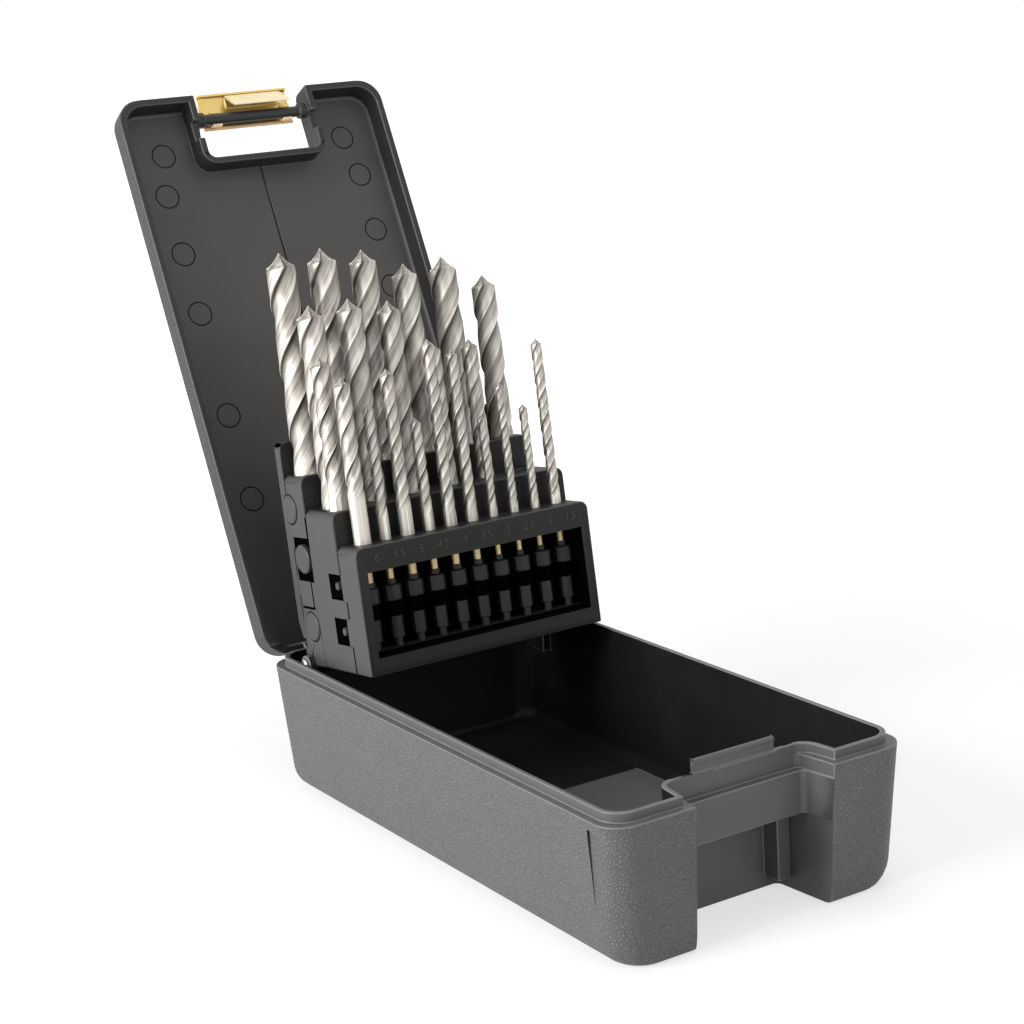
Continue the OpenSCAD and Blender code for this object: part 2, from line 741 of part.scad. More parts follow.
module rack_pin_space() {
    on_both_sides()
        for (p = cheek_pins)
            translate([0, p[0], p[1]])
                rod(cheek_pin_r, rack_w / 2 - cheek_pin_in, rack_w / 2 + 2);
}

module rack_side_pins() {
    color(black) at_rack() on_both_sides()
        for (p = cheek_pins)
            translate([0, p[0], p[1]])
                rod(cheek_pin_r, rack_w / 2 - cheek_pin_in, rack_w / 2 + 0.3);
}

module rack_pivot_pins() {
    color(steel) at_rack() on_both_sides() {
        rod(rack_pin_d / 2, rack_w / 2 - lug_t + 1, rack_w / 2 + ear_gap + ear_t + 0.3);
        // the head outside the ear
        translate([rack_w / 2 + ear_gap + ear_t + 0.15, 0, 0]) {
            rod(0.82 * rack_pin_d, 0, 0.25 * rack_pin_d);
            rod(0.54 * rack_pin_d, 0, 0.39 * rack_pin_d);
        }
    }
}

// ---- drills ----------------------------------------------------------------

// Radius of each of a flute section's ten points, as a share of the full radius:
// two lands with a flute between them, cut deeper as deep goes from 0 to 1.
flute_shape = [1, 1, 0.8, 0.36, 0.62];
function flute_point(k, deep) = 1 - (1 - flute_shape[k % 5]) * deep;

// One section of the fluted body at height z.
function flute_ring(r, z, turn, deep) =
    [for (k = [0 : 9])
        let (a = 36 * k + turn, s = r * flute_point(k, deep))
        [s * cos(a), s * sin(a), z]];

// The fluted part: its flutes fade in from the shank, and it ends in a raised point.
module flutes(d, len) {
    r = d / 2 * 0.985;
    lead = PI * d / tan(helix_angle);
    steps = ceil(len / lead * 10);
    tip_h = 0.3 * d;
    body = [for (i = [0 : steps])
        flute_ring(r, len * i / steps, 360 * len * i / steps / lead,
                   min(1, len * i / steps / (1.1 * d)))];
    shoulder = [for (p = flute_ring(r * 0.4, len + 0.12 * d, 360 * len / lead, 1)) p];
    rings = concat(body, [shoulder]);
    n = len(rings);
    points = concat([for (ring = rings, p = ring) p], [[0, 0, len + tip_h]]);
    polyhedron(points, concat(
        [[for (k = [0 : 9]) k]],
        [for (i = [0 : n - 2], k = [0 : 9])
            [i * 10 + k, (i + 1) * 10 + k, (i + 1) * 10 + (k + 1) % 10]],
        [for (i = [0 : n - 2], k = [0 : 9])
            [i * 10 + k, (i + 1) * 10 + (k + 1) % 10, i * 10 + (k + 1) % 10]],
        [for (k = [0 : 9]) [(n - 1) * 10 + k, n * 10, (n - 1) * 10 + (k + 1) % 10]]));
}

// A twist drill of diameter d standing on its seat, with its point at height h.
module twist_drill(d, h, seat, tier_a) {
    shank = tier_a - seat + 1.6 * d;
    tip_h = 0.3 * d;
    color(steel) {
        cylinder(d = d, h = shank, $fn = 48);
        translate([0, 0, shank - 0.2]) flutes(d, h - seat - shank + 0.2 - tip_h);
    }
}

module front_drill(i) {
    at_rack() translate([front_x(i), front_row_b, foot_a + front_seat])
        twist_drill(front_drills[i][0], front_drills[i][1], front_seat, front_h);
}

module middle_drill(i) {
    at_rack() translate([middle_x(i), middle_row_b, foot_a + back_seat])
        twist_drill(middle_drills[i][0], middle_drills[i][1], back_seat, front_h + tier_rise);
}

module drill_middle_corner() {
    at_rack() translate([corner_row_x, corner_row_b, foot_a + back_seat])
        twist_drill(corner_drill_d, corner_drill_h, back_seat, front_h + tier_rise);
}

module rear_drill(i) {
    at_rack() translate([rear_x(i), rear_row_b, foot_a + back_seat])
        twist_drill(rear_drills[i][0], rear_drills[i][1], back_seat, front_h + 2 * tier_rise);
}

tray();
lid();
lid_hinge_pins();
latch_plate();
latch_hook();
rack_front_frame();
rack_sleeves();
rack_middle_block();
rack_rear_block();
rack_back_plate();
rack_side_plugs();
rack_side_pins();
rack_pivot_pins();
for (i = [0 : len(front_drills) - 1])
    front_drill(i);
for (i = [0 : len(middle_drills) - 1])
    middle_drill(i);
drill_middle_corner();
for (i = [0 : len(rear_drills) - 1])
    rear_drill(i);
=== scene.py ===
# %% [markdown]
# # An open drill bit case
# A moulded case stands open: its lid leans back on the hinge, and a stepped rack of
# twist drills has swung up behind the empty tray. The solids come from the packed
# model, and this notebook gives them soft edges, finishes, light and a camera. All
# lengths are in metres, and the case stands on the plane z = 0 with its front at -Y.

# %% The frame and the tools
from math import asin, atan2, cos, hypot, pi, radians, sin, tan

import bmesh
import bpy
from mathutils import Matrix, Vector


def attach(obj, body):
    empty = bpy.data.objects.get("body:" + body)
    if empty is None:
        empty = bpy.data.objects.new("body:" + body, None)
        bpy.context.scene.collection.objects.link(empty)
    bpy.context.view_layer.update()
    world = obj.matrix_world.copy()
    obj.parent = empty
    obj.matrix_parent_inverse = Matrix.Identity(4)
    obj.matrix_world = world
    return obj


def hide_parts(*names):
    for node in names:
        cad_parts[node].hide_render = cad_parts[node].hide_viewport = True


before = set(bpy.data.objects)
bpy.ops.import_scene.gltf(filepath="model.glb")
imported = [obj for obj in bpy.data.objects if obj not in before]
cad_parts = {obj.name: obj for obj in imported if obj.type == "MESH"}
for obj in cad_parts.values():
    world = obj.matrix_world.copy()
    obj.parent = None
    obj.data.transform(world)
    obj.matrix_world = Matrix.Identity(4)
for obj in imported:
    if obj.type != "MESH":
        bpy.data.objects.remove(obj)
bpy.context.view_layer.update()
mm = 0.001
scene = bpy.context.scene

# %% [markdown]
# ## The camera
# The photograph was taken from the left of the case, a little above the rim, with a
# longish lens, and the camera was tipped slightly to one side. A camera can be turned
# with angles, but here its three axes are worked out from where it stands and where it
# looks, and the tip is a turn about the line of sight.

# %% Camera
camera_place = Vector((-386.2, -598.6, 285.8)) * mm
turned_left = radians(31.79)
looks_down = radians(13.74)
tip = radians(-3.64)
sensor_width = 36.0
focal_pixels = 2240.3
picture_pixels = 1024

sight = Vector((sin(turned_left) * cos(looks_down), cos(turned_left) * cos(looks_down),
                -sin(looks_down)))
across_view = sight.cross(Vector((0, 0, 1))).normalized()
up_view = across_view.cross(sight)
right_axis = across_view * cos(tip) + up_view * sin(tip)
up_axis = up_view * cos(tip) - across_view * sin(tip)

lens = bpy.data.cameras.new("camera")
lens.sensor_width = sensor_width
lens.lens = focal_pixels / picture_pixels * sensor_width
lens.clip_end = 20
camera = bpy.data.objects.new("camera", lens)
turn = Matrix((right_axis, up_axis, -sight)).transposed().to_4x4()
camera.matrix_world = Matrix.Translation(camera_place) @ turn
scene.collection.objects.link(camera)
scene.camera = camera
print("lens", round(lens.lens, 1), "mm")

# %% [markdown]
# ## Shader groups
# The same effects come up in several finishes: the leather grain of the moulded
# outside, the fine spark texture of the plain faces, and the grinding marks on metal. Each
# is a node group with named inputs, so that a material sets only its own values.

# %% Group helpers
def new_group(name, inputs, outputs):
    """A shader group with float inputs {name: default} and outputs {name: kind}."""
    group = bpy.data.node_groups.new(name, "ShaderNodeTree")
    for label, value in inputs.items():
        socket = group.interface.new_socket(label, in_out="INPUT",
                                            socket_type="NodeSocketFloat")
        socket.default_value = value
    for label, kind in outputs.items():
        group.interface.new_socket(label, in_out="OUTPUT", socket_type=kind)
    start = group.nodes.new("NodeGroupInput")
    end = group.nodes.new("NodeGroupOutput")
    return group, start, end


def add(tree, kind, **settings):
    """Adds a node. Settings that name an input set it, and the others are properties."""
    node = tree.nodes.new(kind)
    for key, value in settings.items():
        if hasattr(node, key):
            setattr(node, key, value)
        else:
            node.inputs[key.replace("_", " ")].default_value = value
    return node


def how_many_per_metre(group, start, label):
    """Turns the size that the group's input of that name gives into a pattern's scale."""
    density = add(group, "ShaderNodeMath", operation="DIVIDE")
    density.inputs[0].default_value = 1
    group.links.new(start.outputs[label], density.inputs[1])
    return density.outputs[0]


# %% Leather grain
dome_edge = 0.28             # of a cell: how far from its border its dome is full


def make_leather_grain():
    """Height of a fine leather grain: rounded uneven cells with creases between."""
    group, start, end = new_group(
        "Leather grain", {"Cell": 1.1 * mm, "Unevenness": 0.5},
        {"Height": "NodeSocketFloat"})
    link = group.links.new
    place = add(group, "ShaderNodeTexCoord")
    density = how_many_per_metre(group, start, "Cell")
    drift = add(group, "ShaderNodeTexNoise", Detail=2.0, Roughness=0.5)
    link(place.outputs["Object"], drift.inputs["Vector"])
    link(density, drift.inputs["Scale"])
    wander = add(group, "ShaderNodeVectorMath", operation="SCALE")
    link(drift.outputs["Color"], wander.inputs[0])
    reach = add(group, "ShaderNodeMath", operation="MULTIPLY")
    link(start.outputs["Cell"], reach.inputs[0])
    link(start.outputs["Unevenness"], reach.inputs[1])
    link(reach.outputs[0], wander.inputs["Scale"])
    moved = add(group, "ShaderNodeVectorMath", operation="ADD")
    link(place.outputs["Object"], moved.inputs[0])
    link(wander.outputs[0], moved.inputs[1])
    cells = add(group, "ShaderNodeTexVoronoi", feature="DISTANCE_TO_EDGE")
    link(moved.outputs[0], cells.inputs["Vector"])
    link(density, cells.inputs["Scale"])
    dome = add(group, "ShaderNodeMapRange", interpolation_type="SMOOTHSTEP")
    dome.inputs["From Max"].default_value = dome_edge
    link(cells.outputs["Distance"], dome.inputs["Value"])
    link(dome.outputs["Result"], end.inputs["Height"])
    return group


leather_grain = make_leather_grain()


# %% Spark texture
specks_per_metre = 700.0
speck_radius = 0.2           # of the distance between them
clouds_per_metre = 45.0


def make_spark_texture():
    """The fine even pits that spark erosion leaves in a mould, and a few bright specks."""
    group, start, end = new_group(
        "Spark texture", {"Pit": 0.5 * mm, "Speck share": 0.03},
        {"Height": "NodeSocketFloat", "Speck": "NodeSocketFloat",
         "Cloud": "NodeSocketFloat"})
    link = group.links.new
    place = add(group, "ShaderNodeTexCoord")
    density = how_many_per_metre(group, start, "Pit")
    pits = add(group, "ShaderNodeTexNoise", Detail=3.0, Roughness=0.6)
    link(place.outputs["Object"], pits.inputs["Vector"])
    link(density, pits.inputs["Scale"])
    link(pits.outputs["Fac"], end.inputs["Height"])
    dust = add(group, "ShaderNodeTexVoronoi", feature="F1", Randomness=1.0,
               Scale=specks_per_metre)
    link(place.outputs["Object"], dust.inputs["Vector"])
    limit = add(group, "ShaderNodeMath", operation="LESS_THAN")
    link(dust.outputs["Color"], limit.inputs[0])
    link(start.outputs["Speck share"], limit.inputs[1])
    near = add(group, "ShaderNodeMath", operation="LESS_THAN")
    near.inputs[1].default_value = speck_radius
    link(dust.outputs["Distance"], near.inputs[0])
    both = add(group, "ShaderNodeMath", operation="MULTIPLY")
    link(limit.outputs[0], both.inputs[0])
    link(near.outputs[0], both.inputs[1])
    link(both.outputs[0], end.inputs["Speck"])
    cloud = add(group, "ShaderNodeTexNoise", Scale=clouds_per_metre, Detail=4.0,
                Roughness=0.55)
    link(place.outputs["Object"], cloud.inputs["Vector"])
    link(cloud.outputs["Fac"], end.inputs["Cloud"])
    return group


spark_texture = make_spark_texture()


# %% Grinding marks
tones_per_metre = 90.0


def make_grinding_marks():
    """Streaks along a pin or a rolled sheet, and a slow change of tone."""
    group, start, end = new_group(
        "Grinding marks", {"Spacing": 0.35 * mm, "Stretch": 0.04},
        {"Streak": "NodeSocketFloat", "Tone": "NodeSocketFloat"})
    link = group.links.new
    place = add(group, "ShaderNodeTexCoord")
    squeeze = add(group, "ShaderNodeCombineXYZ")
    squeeze.inputs["X"].default_value = 1
    squeeze.inputs["Y"].default_value = 1
    link(start.outputs["Stretch"], squeeze.inputs["Z"])
    drawn = add(group, "ShaderNodeVectorMath", operation="MULTIPLY")
    link(place.outputs["Object"], drawn.inputs[0])
    link(squeeze.outputs[0], drawn.inputs[1])
    density = how_many_per_metre(group, start, "Spacing")
    streak = add(group, "ShaderNodeTexNoise", Detail=3.0, Roughness=0.65)
    link(drawn.outputs[0], streak.inputs["Vector"])
    link(density, streak.inputs["Scale"])
    link(streak.outputs["Fac"], end.inputs["Streak"])
    tone = add(group, "ShaderNodeTexNoise", Scale=tones_per_metre, Detail=2.0)
    link(place.outputs["Object"], tone.inputs["Vector"])
    link(tone.outputs["Fac"], end.inputs["Tone"])
    return group


grinding_marks = make_grinding_marks()
print("groups", [g.name for g in bpy.data.node_groups])


# %% [markdown]
# ## Finishes
# The case is one black plastic, but it doesn't look the same all over. Its outside has a
# leather grain, and its colour is painted grey there: a painted sheen of the studio light.
# Its inside is plainer, and its colour is painted much darker: painted shade in the cavity.
# A material for each, rather than one with masks, keeps the finish of a face a plain choice
# when the mesh is made.

# %% Plastic
def start_material(name, roughness):
    material = bpy.data.materials.new(name)
    material.use_nodes = True
    shader = material.node_tree.nodes["Principled BSDF"]
    shader.inputs["Roughness"].default_value = roughness
    return material, material.node_tree, shader


first_colour, second_colour, mixed_colour = 6, 7, 2     # a Mix node's colour sockets


def mix_colours(tree, factor, low, high):
    """A colour between low and high, chosen by a factor socket. Each of the two is a
    colour or the output of another node."""
    blend = add(tree, "ShaderNodeMix", data_type="RGBA")
    for number, value in ((first_colour, low), (second_colour, high)):
        if isinstance(value, bpy.types.NodeSocket):
            tree.links.new(value, blend.inputs[number])
        else:
            blend.inputs[number].default_value = (*value, 1)
    tree.links.new(factor, blend.inputs["Factor"])
    return blend.outputs[mixed_colour]


def vary_roughness(tree, shader, factor, low, high):
    """Lets a factor socket move the roughness between low and high."""
    rough = add(tree, "ShaderNodeMapRange", To_Min=low, To_Max=high)
    tree.links.new(factor, rough.inputs["Value"])
    tree.links.new(rough.outputs["Result"], shader.inputs["Roughness"])


def bump_from(tree, shader, height, strength, distance):
    """Lets a height socket tilt the light on the surface."""
    bump = add(tree, "ShaderNodeBump", Strength=strength, Distance=distance)
    tree.links.new(height, bump.inputs["Height"])
    tree.links.new(bump.outputs["Normal"], shader.inputs["Normal"])


# %% Outside plastic
leather_depth = 0.3 * mm


def grained_plastic(name, dark, light, cell, strength, roughness, gloss=0.5):
    """Outside plastic: leather grain whose creases are painted darker than its domes, as
    painted shade.
    """
    material, tree, shader = start_material(name, roughness)
    shader.inputs["Specular IOR Level"].default_value = gloss
    grain = add(tree, "ShaderNodeGroup", node_tree=leather_grain, Cell=cell)
    tree.links.new(mix_colours(tree, grain.outputs["Height"], dark, light),
                   shader.inputs["Base Color"])
    spark = add(tree, "ShaderNodeGroup", node_tree=spark_texture)
    vary_roughness(tree, shader, spark.outputs["Cloud"], roughness - 0.06, roughness + 0.08)
    bump_from(tree, shader, grain.outputs["Height"], strength, leather_depth)
    return material


# %% Plain plastic
pit_depth = 0.08 * mm


def spark_plastic(name, dark, light, speck, pit, strength, roughness, share, gloss=0.5):
    """Plain plastic: fine pits, a faint cloudiness, and specks that catch the light."""
    material, tree, shader = start_material(name, roughness)
    shader.inputs["Specular IOR Level"].default_value = gloss
    spark = add(tree, "ShaderNodeGroup", node_tree=spark_texture, Pit=pit,
                Speck_share=share)
    base = mix_colours(tree, spark.outputs["Cloud"], dark, light)
    tree.links.new(mix_colours(tree, spark.outputs["Speck"], base, speck),
                   shader.inputs["Base Color"])
    vary_roughness(tree, shader, spark.outputs["Cloud"], roughness - 0.05, roughness + 0.1)
    bump_from(tree, shader, spark.outputs["Height"], strength, pit_depth)
    return material


def two_levels(material, axis, low, high, low_colour):
    """Fades a finish to low_colour from high down to low along an axis of the object."""
    tree = material.node_tree
    shader = tree.nodes["Principled BSDF"]
    before = shader.inputs["Base Color"].links[0].from_socket
    place = add(tree, "ShaderNodeTexCoord")
    split = add(tree, "ShaderNodeSeparateXYZ")
    tree.links.new(place.outputs["Object"], split.inputs[0])
    share = add(tree, "ShaderNodeMapRange")
    share.inputs["From Min"].default_value = low
    share.inputs["From Max"].default_value = high
    tree.links.new(split.outputs[axis], share.inputs["Value"])
    tree.links.new(mix_colours(tree, share.outputs["Result"], low_colour, before),
                   shader.inputs["Base Color"])


# %% The case's and the rack's plastics
def grey(level):
    return level, level, level


# the outside's grey is a painted sheen of the studio light on the black plastic
case_outside = grained_plastic("case_outside", (0.078, 0.077, 0.079), (0.124, 0.123, 0.125),
                               1.0 * mm, 0.6, 0.5, 0.4)
lid_outside = grained_plastic("lid_outside", grey(0.03), grey(0.05),
                              1.0 * mm, 0.5, 0.5, 0.3)
# the inside's near-black is painted shade in the cavity
case_inside = spark_plastic("case_inside", grey(0.004), grey(0.011),
                            grey(0.3), 0.45 * mm, 0.5, 0.45, 0.03, 0.24)
# the floor's pale front is a painted reflection of light; its back is painted dark further
# down, as painted shade
case_floor = spark_plastic("case_floor", (0.12, 0.12, 0.118), (0.134, 0.134, 0.132),
                           grey(0.2), 0.45 * mm, 0.1, 0.4, 0.006, 0.3)
case_rim = spark_plastic("case_rim", (0.078, 0.077, 0.076), (0.1, 0.099, 0.098),
                         grey(0.16), 0.35 * mm, 0.15, 0.42, 0.01, 0.4)
# a lighter copy for the bevels: a painted highlight along the tray's edges
case_edge_highlight = spark_plastic("case_edge_highlight", grey(0.12), grey(0.17),
                          grey(0.3), 0.35 * mm, 0.15, 0.42, 0.01)
lid_inside = spark_plastic("lid_inside", (0.054, 0.052, 0.048), (0.076, 0.073, 0.068),
                           grey(0.16), 0.4 * mm, 0.35, 0.42, 0.012, 0.35)
# the lid's walls and rim are painted darker than its flat: painted shade
lid_wall = spark_plastic("lid_wall", grey(0.014), grey(0.024),
                         grey(0.1), 0.4 * mm, 0.3, 0.42, 0.01, 0.35)
# the grooves and marks are painted near-black: painted shade in them
lid_groove = spark_plastic("lid_groove", grey(0.01), grey(0.014),
                           grey(0.03), 0.4 * mm, 0.1, 0.5, 0.0, 0.1)
# a lighter copy for the bevels: a painted highlight along the lid's edges
lid_edge_highlight = spark_plastic("lid_edge_highlight", grey(0.026), grey(0.05),
                         grey(0.2), 0.35 * mm, 0.15, 0.4, 0.02)
# the cheeks' and plugs' grey is a painted sheen of the light from the left
rack_cheek = spark_plastic("rack_cheek", grey(0.026), grey(0.046),
                           grey(0.2), 0.45 * mm, 0.7, 0.45, 0.03)
rack_black = spark_plastic("rack_black", grey(0.009), grey(0.02),
                           grey(0.14), 0.5 * mm, 0.5, 0.45, 0.03, 0.2)
rack_front = spark_plastic("rack_front", (0.009, 0.009, 0.008), (0.019, 0.019, 0.017),
                           grey(0.14), 0.4 * mm, 0.9, 0.45, 0.03, 0.24)
# the number strip's front is painted darker towards its foot, as painted shade
two_levels(rack_front, "Z", 0.062, 0.09, grey(0.0015))
# a lighter copy for the bevels and the numerals: a painted highlight
rack_highlight = spark_plastic("rack_highlight", grey(0.02), grey(0.05),
                          grey(0.3), 0.4 * mm, 0.5, 0.35, 0.06, 0.4)
# near-black for the joints, the pockets and the back of the window: painted shade
deep_black = spark_plastic("deep_black", grey(0.001), grey(0.002),
                           grey(0.01), 0.5 * mm, 0.1, 0.6, 0.01, 0.0)
sleeve_black = spark_plastic("sleeve_black", (0.011, 0.011, 0.012), (0.024, 0.024, 0.025),
                             grey(0.08), 0.4 * mm, 0.15, 0.4, 0.01, 0.3)


# %% [markdown]
# ## Metal
# The latch and the pins are rolled or drawn, with faint marks and an even tone. The drills
# are ground along their flutes, so a pattern stretched along one axis would cross the
# flutes. Instead each corner of a drill stores its place on the untwisted drill, and the
# streaks are drawn there. How dark the flutes and the point are is stored likewise: mostly
# painted shade, partly the flutes' duller steel. So are the straw-coloured ends.

# %% Metal
scratch_depth = 0.05 * mm


def metal(name, dark, light, spacing, stretch, roughness, strength, metallic=1.0):
    """Ground or rolled metal: streaks that shift its tone and its roughness."""
    material, tree, shader = start_material(name, roughness)
    shader.inputs["Metallic"].default_value = metallic
    marks = add(tree, "ShaderNodeGroup", node_tree=grinding_marks, Spacing=spacing,
                Stretch=stretch)
    tree.links.new(mix_colours(tree, marks.outputs["Tone"], dark, light),
                   shader.inputs["Base Color"])
    vary_roughness(tree, shader, marks.outputs["Streak"], roughness - 0.08,
                   roughness + 0.14)
    bump_from(tree, shader, marks.outputs["Streak"], strength, scratch_depth)
    return material


# %% Drill steel
dull_streak, bright_streak = (0.34, 0.31, 0.265), (0.92, 0.89, 0.82)
# the colour of the painted shade in the flutes and on the point
painted_flute_shade = (0.035, 0.03, 0.024)
straw = (0.6, 0.49, 0.27)
grinding_depth = 0.04 * mm


def fluted_steel():
    """Ground steel. Three attributes of the drill shape it: "straight" is the place on the
    drill as if its flutes were untwisted, so that the grinding streaks follow them, "shade"
    tells how dark the steel is painted in the flutes and on the point, mostly as painted
    shade and partly as the flutes' duller steel, and "warm" where the shank's end is
    straw-coloured."""
    material, tree, shader = start_material("drill_steel", 0.4)
    shader.inputs["Metallic"].default_value = 0.8
    straight = add(tree, "ShaderNodeAttribute", attribute_type="GEOMETRY")
    straight.attribute_name = "straight"
    fine = add(tree, "ShaderNodeTexNoise", Scale=2600.0, Detail=3.0, Roughness=0.6)
    tree.links.new(straight.outputs["Vector"], fine.inputs["Vector"])
    broad = add(tree, "ShaderNodeTexNoise", Scale=700.0, Detail=2.0, Roughness=0.5)
    tree.links.new(straight.outputs["Vector"], broad.inputs["Vector"])
    both = add(tree, "ShaderNodeMath", operation="ADD")
    tree.links.new(fine.outputs["Fac"], both.inputs[0])
    tree.links.new(broad.outputs["Fac"], both.inputs[1])
    streaks = add(tree, "ShaderNodeMapRange")
    streaks.inputs["From Min"].default_value = 0.75
    streaks.inputs["From Max"].default_value = 1.25
    tree.links.new(both.outputs[0], streaks.inputs["Value"])
    colour = mix_colours(tree, streaks.outputs["Result"], dull_streak, bright_streak)
    for attribute, tone in (("shade", painted_flute_shade), ("warm", straw)):
        amount = add(tree, "ShaderNodeAttribute", attribute_type="GEOMETRY")
        amount.attribute_name = attribute
        colour = mix_colours(tree, amount.outputs["Fac"], colour, tone)
    tree.links.new(colour, shader.inputs["Base Color"])
    vary_roughness(tree, shader, streaks.outputs["Result"], 0.42, 0.6)
    bump_from(tree, shader, streaks.outputs["Result"], 0.3, grinding_depth)
    return material


drill_steel = fluted_steel()
pin_steel = metal("pin_steel", (0.55, 0.54, 0.52), (0.75, 0.74, 0.72), 0.2 * mm, 1.0,
                  0.22, 0.1)
brass = metal("brass", (0.66, 0.47, 0.15), (0.78, 0.6, 0.24), 1.5 * mm, 0.3, 0.34, 0.02)
pale_brass = metal("pale_brass", (0.74, 0.62, 0.36), (0.88, 0.79, 0.55), 1.5 * mm, 0.3,
                   0.36, 0.02)
warm_brass = metal("warm_brass", (0.86, 0.6, 0.34), (0.96, 0.74, 0.48), 1.5 * mm, 0.3,
                   0.5, 0.02, 0.3)
print("materials", len(bpy.data.materials))


# %% [markdown]
# ## Mouldings
# The tray, the lid and the rack's blocks already have their true shapes, but every
# edge of a CAD solid is razor sharp, and a moulding has none. So each is copied, its
# loose triangles are merged and its flat faces joined, and a bevel modifier rounds its
# edges. Each face is then given the finish of the side it is on.

# %% A clean copy of a moulding
merge_distance = 0.03 * mm   # corners nearer to each other than this become one
flat_angle = radians(0.6)    # faces that meet at less than this are one flat face
thin_face = 3 * mm           # a face of many corners that is thinner is cut up, so that
many_corners = 16            # a bevel can't fold it


def mean_width(face):
    """How wide a long strip of this face's area and outline would be."""
    return 2 * face.calc_area() / face.calc_perimeter()


def clean_copy(node):
    """A CAD node's shape with its triangles merged and its flat faces joined."""
    shape = bmesh.new()
    shape.from_mesh(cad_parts[node].data)
    bmesh.ops.remove_doubles(shape, verts=shape.verts, dist=merge_distance)
    bmesh.ops.dissolve_limit(shape, angle_limit=flat_angle, verts=shape.verts,
                             edges=shape.edges, delimit={"NORMAL"})
    bmesh.ops.triangulate(shape, faces=[face for face in shape.faces if len(face.verts)
                                        > many_corners and mean_width(face) < thin_face])
    return shape


# %% Which edges are rounded
usual_bevel = 0.35 * mm
sharp_angle = radians(38)
room_share = 0.42            # of the room beside an edge that its bevel may take
least_share = 0.35           # an edge with room for less of its bevel stays sharp
in_line = 0.87               # cosine of the angle under which two edges run on


def room_for_bevel(edge):
    """Length of the shortest edge that meets this one at an angle."""
    along = (edge.verts[1].co - edge.verts[0].co).normalized()
    room = 1.0
    for vert in edge.verts:
        for other in vert.link_edges:
            way = other.other_vert(vert).co - vert.co
            if other is not edge and abs(way.normalized().dot(along)) < in_line:
                room = min(room, way.length)
    return room


def mark_bevels(shape, width, width_at):
    """Gives each sharp edge its share of the widest bevel, and returns that bevel."""
    weight = shape.edges.layers.float.new("bevel_weight_edge")
    widths = {}
    for edge in shape.edges:
        wanted = width_at(edge) if width_at else width
        sharp = edge.is_manifold and edge.calc_face_angle() > sharp_angle
        if sharp and wanted:
            bevel = min(wanted, room_share * room_for_bevel(edge))
            if bevel > least_share * wanted:
                widths[edge] = bevel
        edge.smooth = not sharp or edge in widths or wanted is None
    widest = max(widths.values(), default=width)
    for edge, bevel in widths.items():
        edge[weight] = bevel / widest
    return widest


# %% Dressing a moulding
def place_mesh(name, shape, finishes):
    """Makes a bmesh an object in the scene with these finishes."""
    mesh = bpy.data.meshes.new(name)
    shape.to_mesh(mesh)
    shape.free()
    for finish in finishes:
        mesh.materials.append(finish)
    piece = bpy.data.objects.new(name, mesh)
    scene.collection.objects.link(piece)
    return piece


def dress(node, body, finishes, choose=None, width=usual_bevel, segments=2,
          width_at=None, highlight_finish=None):
    """A copy of a CAD node with rounded edges. choose(face) picks one of the finishes,
    width_at(edge) gives the bevel of an edge that needs another one than width, 0 where the
    edge stays sharp, or None where it is round already, and the last argument is the
    lighter plastic that shows on the bevels: a painted highlight along the rounded edges."""
    shape = clean_copy(node)
    for face in shape.faces:
        face.material_index = choose(face) if choose else 0
        face.smooth = True
    widest = mark_bevels(shape, width, width_at)
    piece = place_mesh(node + "_dressed", shape,
                       finishes + ([highlight_finish] if highlight_finish else []))
    round_over = piece.modifiers.new("round_over", "BEVEL")
    round_over.width = widest
    round_over.segments = segments
    round_over.limit_method = "WEIGHT"
    round_over.use_clamp_overlap = False
    # the bevels take the lighter plastic, a painted highlight
    round_over.material = len(finishes) if highlight_finish else -1
    shade = piece.modifiers.new("shade", "WEIGHTED_NORMAL")
    shade.keep_sharp = False
    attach(piece, body)
    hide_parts(node)
    print(piece.name, len(piece.data.polygons), "faces")


# %% [markdown]
# ## The tray
# Outside it is grained down to the table. Its rim, its lip and the walls of the finger
# recess are plainer, and its cavity is painted almost black, as painted shade. Only the
# front of its floor is a little smoother, and it is painted paler, a painted reflection of
# the light that falls there; the back of the floor is painted as dark as the cavity. This
# needs no face of its own: the colour changes along Y.

# %% Tray
rim_z = 46.5 * mm
rim_inset = 4.4 * mm
half_width = 56 * mm
front_y = -108 * mm
back_y = 108 * mm
recess_half = 26.2 * mm
recess_back = 27.5 * mm
mouth_half = 32 * mm
setback_y = 95 * mm
setback_from_x = 53 * mm
wall_share = 1.2 * mm        # the cavity's walls lie at least this far in
foot_fillet_top = 8.2 * mm


def faces_inwards(middle, looks):
    return (abs(looks.x) > 0.3 and looks.x * middle.x < 0
            or abs(looks.y) > 0.3 and looks.y * middle.y < 0)


def tray_finish(face):
    """0 is the grained outside, 1 the rim and the recess, 2 the inside and 3 its floor."""
    middle, looks = face.calc_center_median(), face.normal
    if in_recess_area(middle) and middle.z > 0.2 * mm:
        return 1
    # the side faces of the setback steps take the cavity's near-black: painted shade in the
    # step
    if is_setback_side(middle) and abs(looks.y) > 0.7:
        return 2
    by_the_mouth = abs(middle.x) < mouth_half and middle.y < front_y + recess_back
    if by_the_mouth and looks.x * middle.x < 0 and middle.z > rim_z - 1 * mm:
        return 1
    within = (abs(middle.x) < half_width - wall_share
              and abs(middle.y) < back_y - wall_share)
    if within and middle.z > 5 * mm and faces_inwards(middle, looks):
        return 2
    if middle.z > rim_z - 0.4 * mm:
        return 1
    inside = (abs(middle.x) < half_width - rim_inset and abs(middle.y) < back_y - rim_inset
              and middle.z > 1.5 * mm and looks.z > -0.1)
    if inside:
        return 3 if looks.z > 0.95 and middle.z < 4 * mm else 2
    return 0


def in_recess_area(point):
    return abs(point.x) < recess_half and point.y < front_y + recess_back


